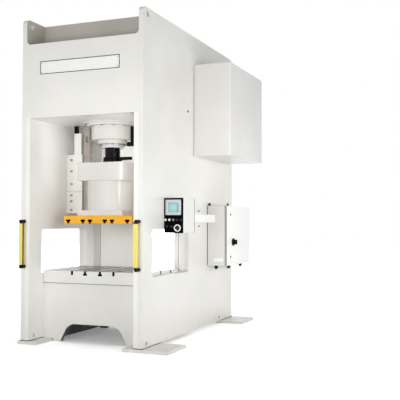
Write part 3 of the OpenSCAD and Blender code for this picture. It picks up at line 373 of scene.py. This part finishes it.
FINISHES = {
    WHITE: ["left_side_plate", "right_side_plate", "crown_front_plate", "crown_rear_plate",
            "crown_deck_plate", "bed_front_plate", "bed_rear_plate", "bed_top_plate", "foot_pads",
            "left_gib", "right_gib", "guide_columns"],
    INNER_WHITE_PAINTED_LIGHT: ["inner_plates", "crown_floor_plate"],
    CAST_WHITE_PAINTED_SHADE: ["drive_housing", "gland_ring", "slide_body"],
    SHEET_WHITE: ["panel_box", "junction_box", "drive_cabinet"],
    POSTS_PAINTED_SHADE_AND_LIGHT: ["rear_posts"],
    REAR_DOOR: ["rear_door"],
    CROSS_PLATES_PAINTED_SHADE: ["crown_cross_plates"],
    DOOR_WHITE: ["junction_door", "cable_trunking"],
    MOTOR_BLACK: ["servo_motor"],
    BED_PAINTED_SHADE: ["bed_ribs"],
    CURTAIN_LEMON: ["left_light_curtain", "right_light_curtain"],
    STEEL: ["nut_bearings", "drive_nut", "nut_gear", "motor_pinion", "rear_hinge_leaves"],
    ZINC: ["housing_bolts", "gland_bolts", "gib_bolts"],
    GUIDE_STEEL: ["guide_bars"],
    BLACK_STEEL: ["bolster_bolts", "ram_screw", "screw_foot"],
    BLACK_PLASTIC: ["sensor_arm", "column_stops", "rear_door_handle", "curtain_brackets", "junction_glands",
                    "main_switch"],
    PANEL_FILM: ["panel_front"],
    LENS: ["curtain_lenses"],
    WHITE_CAP: ["button_1", "button_2"],
    GREY_CAP: ["button_3"],
    DARK_CAP: ["button_4", "button_5"],
    ALUMINIUM: ["panel_bezel"],
    BOLSTER: ["bolster"],
    AMBER: ["slide_plate"],
    NAMEPLATE: ["nameplate"],
    HANDWHEEL: ["handwheel"],
    SCREEN: ["panel_screen"],
}
for finish, names in FINISHES.items():
    for name in names:
        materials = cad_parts[name].data.materials
        materials.clear()
        materials.append(finish)


# Trim shapes

def skinned(points, ring=False):
    """Surface through rows of points, each a closed loop. The ends are capped, or joined in a ring."""
    rows, columns = points.shape[:2]
    row, column = np.meshgrid(np.arange(rows if ring else rows - 1), np.arange(columns), indexing="ij")
    beside = (column + 1) % columns
    above = (row + 1) % rows
    quads = [row * columns + column, row * columns + beside,
             above * columns + beside, above * columns + column]
    faces = np.stack(quads, -1).reshape(-1, 4).tolist()
    if not ring:
        faces.append(list(range(columns))[::-1])
        faces.append(list(range((rows - 1) * columns, rows * columns)))
    return points.reshape(-1, 3), faces


def turned(profile, foot, axis, sides=24, ring=False):
    """Turned part: the profile of (radius, height) pairs swept round the axis from the point foot.
    Point = foot + height * axis + radius * (cos a * u + sin a * v), where u and v lie across the axis."""
    axis = np.array(axis, float)
    u = np.roll(axis, 1)
    v = np.cross(axis, u)
    radius, height = np.array(profile, float).T[:, :, None, None]
    a = np.linspace(0, 2 * math.pi, sides, endpoint=False)
    circle = np.cos(a)[:, None] * u + np.sin(a)[:, None] * v
    return skinned(np.array(foot) + height * axis + radius * circle, ring)


def plate(profile, centre, across, up, size, corner, ring=False):
    """Plate with a rounded outline: the profile of (inset, rise) pairs carried round a rounded rectangle.
    Point = centre + corner centre + (corner radius - inset) * (cos a * across + sin a * up) + rise * out,
    where out is across x up."""
    across, up = np.array(across, float), np.array(up, float)
    inset, rise = np.array(profile, float).T[:, :, None, None]
    a = (np.arange(4)[:, None] + np.linspace(0, 1, 5)) * math.pi / 2
    x_sign = np.array([1, -1, -1, 1])[:, None] * np.ones(5)
    y_sign = np.array([1, 1, -1, -1])[:, None] * np.ones(5)
    x, y, cos, sin = (part.reshape(-1, 1) for part in (
        x_sign * (size[0] / 2 - corner), y_sign * (size[1] / 2 - corner), np.cos(a), np.sin(a)))
    loop = x * across + y * up + (corner - inset) * (cos * across + sin * up)
    return skinned(np.array(centre) + loop + rise * np.cross(across, up), ring)


def bead(start, end, radius=6 * MM, pitch=14 * MM):
    """Weld bead: a tube along a straight line whose radius swells at every ripple.
    Point = start + s * along + radius * (0.8 + 0.2 * |sin(pi * s / pitch)|) * (cos a * u + sin a * v)."""
    start, end = np.array(start, float), np.array(end, float)
    length = np.linalg.norm(end - start)
    along = (end - start) / length
    u = np.roll(along, 1)
    v = np.cross(along, u)
    s = np.linspace(0, length, 4 * int(length / pitch) + 1)
    swell = radius * (0.8 + 0.2 * np.abs(np.sin(math.pi * s / pitch)))
    swell[[0, -1]] = 0.4 * radius
    a = np.linspace(0, 2 * math.pi, 8, endpoint=False)
    circle = np.cos(a)[:, None] * u + np.sin(a)[:, None] * v
    return skinned(start + s[:, None, None] * along + swell[:, None, None] * circle)


def moulding(outline, start, length):
    """Straight moulding along +Y: an outline of (up, out) pairs carried from the point start.
    Point = start + s * Y + up * Z + out * X."""
    up, out = np.array(outline, float).T[:, None, :, None]
    s = np.array([0.0, length])[:, None, None]
    return skinned(np.array(start) + s * np.array(Y) + up * np.array(Z) + out * np.array(X))


def piece(name, parts, body, finish):
    """One object from a list of (points, faces), each a closed surface of its own."""
    points = np.concatenate([part[0] for part in parts])
    starts = np.cumsum([0] + [len(part[0]) for part in parts])
    faces = [[i + int(start) for i in face] for part, start in zip(parts, starts) for face in part[1]]
    mesh = bpy.data.meshes.new(name)
    mesh.from_pydata(points.tolist(), [], faces)
    mesh.materials.append(finish)
    mesh.validate()
    thing = bpy.data.objects.new(name, mesh)
    bpy.context.scene.collection.objects.link(thing)
    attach(thing, body)


def cap(radius, height):
    """Profile of a cap with a straight skirt and an elliptical dome."""
    a = np.linspace(0, math.pi / 2 * 0.94, 6)
    dome = np.stack([radius * np.cos(a), height * (0.4 + 0.6 * np.sin(a))], 1)
    return np.concatenate([[[radius, 0.0]], dome])


def socket_screw(radius, height):
    """Profile of a screw head with a rounded edge and a recessed socket."""
    rows = [(1, 0), (1, 0.6), (0.88, 0.9), (0.7, 1), (0.45, 1), (0.42, 0.55)]
    return np.array(rows) * [radius, height]


def cord_round(radius):
    """Closed profile of a round seal, as (inset, rise) pairs of a circle."""
    a = np.linspace(0, 2 * math.pi, 10, endpoint=False)
    return np.stack([-radius * np.cos(a), radius * np.sin(a)], 1)


def slab(rise, edge=1.5 * MM):
    """Profile of a flat plate with a chamfered front edge."""
    return [(0, 0), (0, rise - edge), (edge, rise)]


def corner_places(low, high, inset, y):
    """The four places on a front face that lie in from its corners by the inset."""
    return [(x, y, z) for x in (low.x + inset, high.x - inset) for z in (low.z + inset, high.z - inset)]


# Trim on the frame

right_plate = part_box("right_side_plate")
inner_x = bed[1].x
outer_x = right_plate[1].x

plug_at = (outer_x, -213 * MM, 2957 * MM)
plug_r, plug_h = 15 * MM, 10 * MM
piece("side_plug", [turned(cap(plug_r, plug_h), plug_at, X)], "frame", BLACK_PLASTIC)

bed_bead_low = 60 * MM
crown_bead_front = -1540 * MM
crown_z = crown[0].z
beads = []
for side in (-1, 1):
    wall_x = side * inner_x
    end_x = side * crown[1].x
    beads.append(bead((wall_x, bed[0].y, bed_bead_low), (wall_x, bed[0].y, bed_top[1].z)))
    beads.append(bead((wall_x, crown_bead_front, crown_z), (wall_x, 0.0, crown_z)))
    for y in (cross[0].y, -cross[0].y):
        beads.append(bead((end_x, y, cross[0].z), (end_x, y, cross[1].z)))
piece("weld_beads", beads, "frame", WHITE)

pad_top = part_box("foot_pads")[1].z
shim_l, shim_t, shim_edge, shim_corner, shim_lap = 494 * MM, 7 * MM, 1 * MM, 4 * MM, 5 * MM
shim_profile = [(shim_edge, 0), (0, shim_edge), (0, shim_t - shim_edge), (shim_edge, shim_t)]
shim_size = (outer_x - inner_x + shim_lap, shim_l + shim_lap)
shims = []
for side in (-1, 1):
    for end in (-1, 1):
        middle = (side * (inner_x + outer_x) / 2, end * (right_plate[1].y - shim_l / 2), pad_top)
        shims.append(plate(shim_profile, middle, X, Y, shim_size, shim_corner))
piece("foot_shims", shims, "frame", BLACK_STEEL)

name_low, name_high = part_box("nameplate")
name_field_y = name_low.y + 3 * MM
name_screw = socket_screw(7 * MM, 4 * MM)
name_screw_inset = 26 * MM
name_screws = corner_places(name_low, name_high, name_screw_inset, name_field_y)
piece("nameplate_screws", [turned(name_screw, place, FORWARD) for place in name_screws],
      "frame", ZINC)


# Trim on the drive and the slide

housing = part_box("drive_housing")
screw_y = (housing[0].y + housing[1].y) / 2
stem_at, stem_size, stem_t = (270 * MM, screw_y, 2592 * MM), (44 * MM, 256 * MM), 29 * MM
head_at, head_size, head_t = (222 * MM, screw_y, 2490 * MM), (50 * MM, 52 * MM), 87 * MM
sensor_corner = 6 * MM
sensor_nose = [(11 * MM, 0), (11 * MM, 12 * MM), (9 * MM, 14 * MM)]
sensor = [plate(slab(stem_t), stem_at, Y, Z, stem_size, sensor_corner),
          plate(slab(head_t), head_at, Y, Z, head_size, sensor_corner),
          turned(sensor_nose, head_at, LEFTWARD)]
piece("position_sensor", sensor, "frame", BLACK_PLASTIC)

bars_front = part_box("guide_bars")[0].y
cam_x, cam_z = 435 * MM, 2579 * MM
cam_size, cam_t, cam_corner = (24 * MM, 70 * MM), 12 * MM, 4 * MM
cams = [plate(slab(cam_t), (side * cam_x, bars_front, cam_z), X, Z, cam_size, cam_corner) for side in (-1, 1)]
piece("guide_bar_cams", cams, "slide", STEEL)


# Trim on the control panel

panel_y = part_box("panel_front")[0].y
collar_r, collar_bore, collar_h, collar_edge = 18.5 * MM, 15.6 * MM, 4 * MM, 1 * MM
collar = [(collar_r, 0), (collar_r, collar_h - collar_edge), (collar_r - collar_edge, collar_h),
          (collar_bore, collar_h), (collar_bore, 0)]
collars = []
for number in range(1, 6):
    low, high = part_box(f"button_{number}")
    collar_at = ((low.x + high.x) / 2, panel_y, (low.z + high.z) / 2)
    collars.append(turned(collar, collar_at, FORWARD, sides=32, ring=True))
piece("button_collars", collars, "frame", BLACK_PLASTIC)

selector = [(17 * MM, 0), (17 * MM, 3 * MM), (12 * MM, 4 * MM), (12 * MM, 15 * MM), (10 * MM, 17 * MM)]
selector_places = [(868 * MM, panel_y, 1440 * MM), (930 * MM, panel_y, 1437 * MM)]
piece("panel_selectors", [turned(selector, place, FORWARD) for place in selector_places],
      "frame", DARK_CAP)

bezel_low, bezel_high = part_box("panel_bezel")
bezel_screw = socket_screw(3.5 * MM, 1.5 * MM)
bezel_screw_inset = 9 * MM
bezel_screws = corner_places(bezel_low, bezel_high, bezel_screw_inset, bezel_low.y)
piece("bezel_screws", [turned(bezel_screw, place, FORWARD, sides=16) for place in bezel_screws],
      "frame", BLACK_STEEL)

box_low, box_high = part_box("panel_box")
edge_seal_r, edge_seal_corner = 5 * MM, 10 * MM
edge_sunk_x, edge_sunk_z, edge_shift, edge_back = 8 * MM, 4 * MM, 2 * MM, 3 * MM
edge_seal_size = (box_high.x - box_low.x - edge_sunk_x, box_high.z - box_low.z - edge_sunk_z)
edge_seal_at = ((box_low.x + box_high.x) / 2 + edge_shift, box_high.y - edge_back,
                (box_low.z + box_high.z) / 2)
# The black cord round the box's rear edge also stands in for the shade in the gap there, as a dark line.
edge_seal = plate(cord_round(edge_seal_r), edge_seal_at, X, Z, edge_seal_size, edge_seal_corner, ring=True)
piece("panel_edge_seal", [edge_seal], "frame", SEAL_RUBBER)


# Trim on the trunking and the junction box

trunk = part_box("cable_trunking")
lug_y, lug_rise = 152 * MM, 9 * MM
lug_size, lug_t, lug_corner = (80 * MM, 36 * MM), 10 * MM, 8 * MM
lug_screw = socket_screw(10 * MM, 7 * MM)
lug_screw_reach = 20 * MM
lugs = []
lug_screws = []
for z in (trunk[1].z + lug_rise, trunk[0].z - lug_rise):
    lugs.append(plate(slab(lug_t), (outer_x, lug_y, z), Y, Z, lug_size, lug_corner))
    for y in (lug_y - lug_screw_reach, lug_y + lug_screw_reach):
        lug_screws.append(turned(lug_screw, (outer_x + lug_t, y, z), X))
piece("trunking_lugs", lugs, "frame", DOOR_WHITE)
piece("trunking_screws", lug_screws, "frame", BLACK_STEEL)

junction_back = 1511 * MM
junction_y = (door[0].y + junction_back) / 2
junction_z = (door[0].z + door[1].z) / 2
seal_inset, seal_corner = 12 * MM, 14 * MM
seal_size = (junction_back - door[0].y - seal_inset, door[1].z - door[0].z - seal_inset)
foot_seal_at, foot_seal_r = (835 * MM, junction_y, junction_z), 5 * MM
door_seal_at, door_seal_r = (1097 * MM, junction_y, junction_z), 3 * MM
# The black seal at the box's foot also stands in for the shade in its joint to the plate, as a dark line.
foot_seal = plate(cord_round(foot_seal_r), foot_seal_at, Y, Z, seal_size, seal_corner, ring=True)
door_seal = plate(cord_round(door_seal_r), door_seal_at, Y, Z, seal_size, seal_corner, ring=True)
piece("junction_foot_seal", [foot_seal], "frame", SEAL_RUBBER)
piece("junction_door_seal", [door_seal], "frame", GREY_SEAL)

knob = np.array([(0.6, 0), (0.6, 0.25), (1, 0.3), (1, 0.85), (0.8, 1)])
box_knob, box_knob_at = knob * [17 * MM, 42 * MM], (860 * MM, 515 * MM, door[1].z)
door_knob, door_knob_at = knob * [12.5 * MM, 38 * MM], (1113.5 * MM, 566 * MM, door[1].z)
piece("junction_box_knob", [turned(box_knob, box_knob_at, Z)], "frame", BLACK_PLASTIC)
piece("junction_door_knob", [turned(door_knob, door_knob_at, Z)],
      "junction_lid", BLACK_PLASTIC)

latch = [(15 * MM, 0), (15 * MM, 3 * MM), (12 * MM, 5 * MM), (5 * MM, 5 * MM), (4 * MM, 2 * MM)]
latch_places = [(1127 * MM, 650 * MM, z) for z in (1598 * MM, 1002 * MM)]
piece("junction_latches", [turned(latch, place, X) for place in latch_places],
      "junction_lid", BLACK_STEEL)

label_at, label_size, label_corner = (1000 * MM, door[0].y, 962 * MM), (140 * MM, 45 * MM), 4 * MM
label_t, label_edge = 1.5 * MM, 0.5 * MM
label = plate(slab(label_t, label_edge), label_at, X, Z, label_size, label_corner)
piece("junction_label_plate", [label], "frame", DOOR_WHITE)

gland_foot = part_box("junction_glands")[0].z
gland_plug = [(24 * MM, 0), (24 * MM, 8 * MM), (20 * MM, 10 * MM), (20 * MM, 22 * MM), (16 * MM, 25 * MM)]
gland_places = [(949 * MM, 546 * MM), (1059 * MM, 749 * MM), (1059 * MM, 1277 * MM)]
piece("gland_plugs", [turned(gland_plug, (x, y, gland_foot), DOWN) for x, y in gland_places],
      "frame", BLACK_PLASTIC)


# Fittings in the junction box, seen when its door is open

wall_depth = 14 * MM
mount_l, mount_h, mount_t = 930 * MM, 750 * MM, 3 * MM
mount_edge, mount_corner = 0.5 * MM, 8 * MM
mount_at = np.array((outer_x + wall_depth, junction_y, junction_z))
mount = plate(slab(mount_t, mount_edge), mount_at, Y, Z, (mount_l, mount_h), mount_corner)
piece("junction_mounting_plate", [mount], "frame", ZINC)

hat = np.array([(-12.5, 0), (12.5, 0), (12.5, 6.5), (17.5, 6.5), (17.5, 7.5), (11.5, 7.5), (11.5, 1),
                (-11.5, 1), (-11.5, 7.5), (-17.5, 7.5), (-17.5, 6.5), (-12.5, 6.5)]) * MM
rail_l, rail_step, rail_h = 860 * MM, 220 * MM, 7.5 * MM
rail_start = mount_at + (mount_t, -rail_l / 2, 0)
rails = [moulding(hat, rail_start + (0, 0, row * rail_step), rail_l) for row in (-1, 0, 1)]
piece("junction_rails", rails, "frame", ZINC)

terminal = np.array([(-30, 0), (30, 0), (30, 18), (18, 30), (14, 44), (-14, 44), (-18, 30), (-30, 18)]) * MM
terminal_pitch, terminal_t, terminal_inset = 10.2 * MM, 10 * MM, 30 * MM
terminal_count, terminal_group = 78, 26
terminal_places = [(rail_h, terminal_inset + i * terminal_pitch, row * rail_step)
                   for row in (-1, 0) for i in range(terminal_count) if (i + 1) % terminal_group]
terminals = [moulding(terminal, rail_start + place, terminal_t) for place in terminal_places]
piece("junction_terminals", terminals, "frame", GREY_PLASTIC)

breaker = np.array([(-42, 0), (42, 0), (42, 45), (23, 50), (23, 66), (-23, 66), (-23, 50), (-42, 45)]) * MM
breaker_pitch, breaker_t, breaker_inset, breaker_nose = 18 * MM, 17.5 * MM, 40 * MM, 66 * MM
breaker_count, breaker_group, breaker_gap = 42, 14, 2
breaker_starts = [rail_start + (rail_h, breaker_inset + i * breaker_pitch, rail_step)
                  for i in range(breaker_count) if i % breaker_group < breaker_group - breaker_gap]
breakers = [moulding(breaker, start, breaker_t) for start in breaker_starts]
piece("junction_breakers", breakers, "frame", WHITE_CAP)

lever = np.array([(-7, 0), (7, 0), (4, 14), (-4, 14)]) * MM
lever_t = 8 * MM
lever_at = (breaker_nose, (breaker_t - lever_t) / 2, 0)
levers = [moulding(lever, start + lever_at, lever_t) for start in breaker_starts]
piece("junction_breaker_levers", levers, "frame", BLACK_PLASTIC)

duct = np.array([(-20, 0), (20, 0), (20, 56), (22, 56), (22, 60), (-22, 60), (-22, 56), (-20, 56)]) * MM
ducts = [moulding(duct, rail_start + (0, 0, row * rail_step), rail_l) for row in (-1.5, -0.5, 0.5, 1.5)]
piece("junction_ducts", ducts, "frame", GREY_PLASTIC)


# Screws of the drive cabinet's cover

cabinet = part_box("drive_cabinet")
cover_inset = 45 * MM
cover_screw = cap(7 * MM, 4 * MM)
rows_y = np.linspace(cabinet[0].y + cover_inset, cabinet[1].y - cover_inset, 4)
rows_z = np.linspace(cabinet[0].z + cover_inset, cabinet[1].z - cover_inset, 4)
places = [(y, z) for y in rows_y for z in rows_z if y in rows_y[[0, -1]] or z in rows_z[[0, -1]]]
piece("cabinet_screws", [turned(cover_screw, (cabinet[1].x, y, z), X, sides=16) for y, z in places],
      "frame", SHEET_WHITE)


# Floor, light and camera

def seen_ray(tree):
    """1 for a ray that the camera, a mirror or clear sheet looks along, 0 for one that only carries light."""
    path = add(tree, "LightPath").outputs
    looks = {0: path["Is Camera Ray"], 1: path["Is Glossy Ray"]}
    seen = add(tree, "Math", looks, operation="MAXIMUM").outputs[0]
    return add(tree, "Math", {0: seen, 1: path["Is Transmission Ray"]}, operation="MAXIMUM").outputs[0]


def studio_floor():
    """Pale floor that keeps the shadow under the press, with painted shade round it: seen from the camera its
    glow is weakest next to the press and fades to white away from it.
    The reach is the distance out from a rectangle that the press stands on."""
    half = 30.0
    footprint = (0.9, 1.5, 0.0)
    mesh = bpy.data.meshes.new("floor")
    corners = [(-half, -half, 0), (half, -half, 0), (half, half, 0), (-half, half, 0)]
    mesh.from_pydata(corners, [], [(0, 1, 2, 3)])
    floor = bpy.data.objects.new("floor", mesh)
    bpy.context.scene.collection.objects.link(floor)
    material = bpy.data.materials.new("pale_studio_floor")
    material.use_nodes = True
    tree = material.node_tree
    tree.nodes.remove(tree.nodes["Principled BSDF"])
    seen = seen_ray(tree)
    pale = add(tree, "Mix", {"Factor": seen, 6: linear("#D9D9D7"), 7: (1.3, 1.3, 1.3, 1.0)}, data_type="RGBA")
    matt = add(tree, "BsdfDiffuse", {"Color": pale.outputs[2]})
    coords = add(tree, "TexCoord").outputs["Object"]
    past = add(tree, "VectorMath", {0: coords}, operation="ABSOLUTE").outputs[0]
    past = add(tree, "VectorMath", {0: past, 1: footprint}, operation="SUBTRACT").outputs[0]
    past = add(tree, "VectorMath", {0: past, 1: (0.0, 0.0, 0.0)}, operation="MAXIMUM").outputs[0]
    reach = add(tree, "VectorMath", {0: past}, operation="LENGTH").outputs["Value"]
    bounce = add(tree, "MapRange", {"Value": reach, "From Min": 0.5, "From Max": 4.0, "To Min": 0.0,
                                    "To Max": 0.3}).outputs[0]
    # Painted shade round the press: the glow the camera sees is weakest next to its footprint.
    white = add(tree, "MapRange", {"Value": reach, "From Min": 0.0, "From Max": 2.2, "To Min": 0.2,
                                   "To Max": 1.0}).outputs[0]
    lift = add(tree, "Mix", {"Factor": seen, 2: bounce, 3: white}, data_type="FLOAT").outputs[0]
    glow = add(tree, "Emission", {"Color": (1, 1, 1, 1), "Strength": lift})
    both = add(tree, "AddShader", {0: matt.outputs[0], 1: glow.outputs[0]})
    tree.links.new(both.outputs[0], tree.nodes["Material Output"].inputs["Surface"])
    mesh.materials.append(material)


def surround():
    """White surround where it is seen, and a dimmer one for light, a little stronger at the horizon."""
    world = bpy.data.worlds.new("studio")
    bpy.context.scene.world = world
    world.use_nodes = True
    tree = world.node_tree
    coords = add(tree, "TexCoord").outputs["Generated"]
    up = add(tree, "SeparateXYZ", {"Vector": coords}).outputs["Z"]
    ambient = add(tree, "MapRange", {"Value": up, "From Min": 0.0, "From Max": 1.0, "To Min": 0.36,
                                     "To Max": 0.28}).outputs[0]
    strength = add(tree, "Mix", {"Factor": seen_ray(tree), 2: ambient, 3: 1.0}, data_type="FLOAT").outputs[0]
    ground = tree.nodes["Background"]
    ground.inputs["Color"].default_value = (1, 1, 1, 1)
    tree.links.new(strength, ground.inputs["Strength"])


def softbox(name, place, target, width, height, power, spread=180, mirrored=True):
    """Rectangular studio light at a place, turned to a target and hidden from the camera itself.
    Its power is in watts. A grid in front of it narrows its light to the spread in degrees.
    A light that isn't mirrored leaves no bright patch in gloss."""
    lamp = bpy.data.lights.new(name, "AREA")
    lamp.shape = "RECTANGLE"
    lamp.size = width
    lamp.size_y = height
    lamp.energy = power
    lamp.spread = math.radians(spread)
    thing = bpy.data.objects.new(name, lamp)
    bpy.context.scene.collection.objects.link(thing)
    thing.visible_camera = False
    thing.visible_glossy = mirrored
    away = np.array(target, float) - np.array(place, float)
    yaw = math.atan2(-away[0], away[1])
    pitch = math.atan2(away[2], math.hypot(away[0], away[1]))
    turn = Matrix.Rotation(yaw, 4, "Z") @ Matrix.Rotation(math.pi / 2 + pitch, 4, "X")
    thing.matrix_world = Matrix.Translation(place) @ turn


def camera():
    """Camera fitted to the edges of the press: its place, its turns in degrees and its focal length in
    millimetres for a picture that counts as 36 mm wide."""
    place = (4.4752, -8.9068, 1.5068)
    yaw, pitch, roll = (math.radians(degrees) for degrees in (21.761, 1.681, 0.102))
    data = bpy.data.cameras.new("camera")
    data.sensor_width = 36.0
    data.lens = 64.33
    eye = bpy.data.objects.new("camera", data)
    bpy.context.scene.collection.objects.link(eye)
    turn = Matrix.Rotation(yaw, 4, "Z") @ Matrix.Rotation(math.pi / 2 + pitch, 4, "X")
    eye.matrix_world = Matrix.Translation(place) @ turn @ Matrix.Rotation(roll, 4, "Z")
    bpy.context.scene.camera = eye


studio_floor()
surround()

# The front, the right corner and the right side, then the back and the left for other views.
softbox("front_light", (0.3, -7.4, 1.9), (0.1, -0.8, 2.1), 4.4, 2.2, 58, 90, mirrored=False)
softbox("corner_light", (7.0, -3.8, 1.9), (0.6, -0.5, 1.9), 2.6, 2.2, 50, 90)
softbox("side_light", (3.6, 0.8, 1.6), (0.8, 0.8, 1.6), 5.0, 0.7, 29)
softbox("back_light", (-2.5, 7.2, 2.2), (0.0, 1.5, 2.0), 4.0, 2.2, 45, 90, mirrored=False)
softbox("left_light", (-7.0, 1.4, 2.0), (-0.9, 0.2, 2.0), 4.0, 2.2, 45, 90, mirrored=False)
# A tall strip in the opening, mirrored as a bright band on the drum and the slide.
softbox("throat_strip", (0.7, -1.25, 2.2), (-0.7, -1.25, 2.2), 0.1, 0.84, 1.8)
# Weak fills for what the opening shades: the left wall, the rear wall, and the walls behind both windows.
softbox("wall_fill", (-0.25, -1.38, 2.4), (-0.713, -0.98, 2.45), 0.1, 0.9, 0.36, 80, mirrored=False)
softbox("rear_fill", (-0.15, -0.3, 2.5), (-0.15, 0.0, 2.35), 1.0, 0.2, 1.3, mirrored=False)
softbox("die_fill", (0.5, -0.45, 1.3), (-0.7, -0.4, 1.25), 0.3, 0.3, 0.27, 70, mirrored=False)
softbox("window_fill", (0.5, -0.35, 1.1), (0.6, 0.0, 1.1), 0.15, 0.4, 0.2, 90, mirrored=False)
camera()
bpy.context.scene.view_settings.view_transform = "Standard"
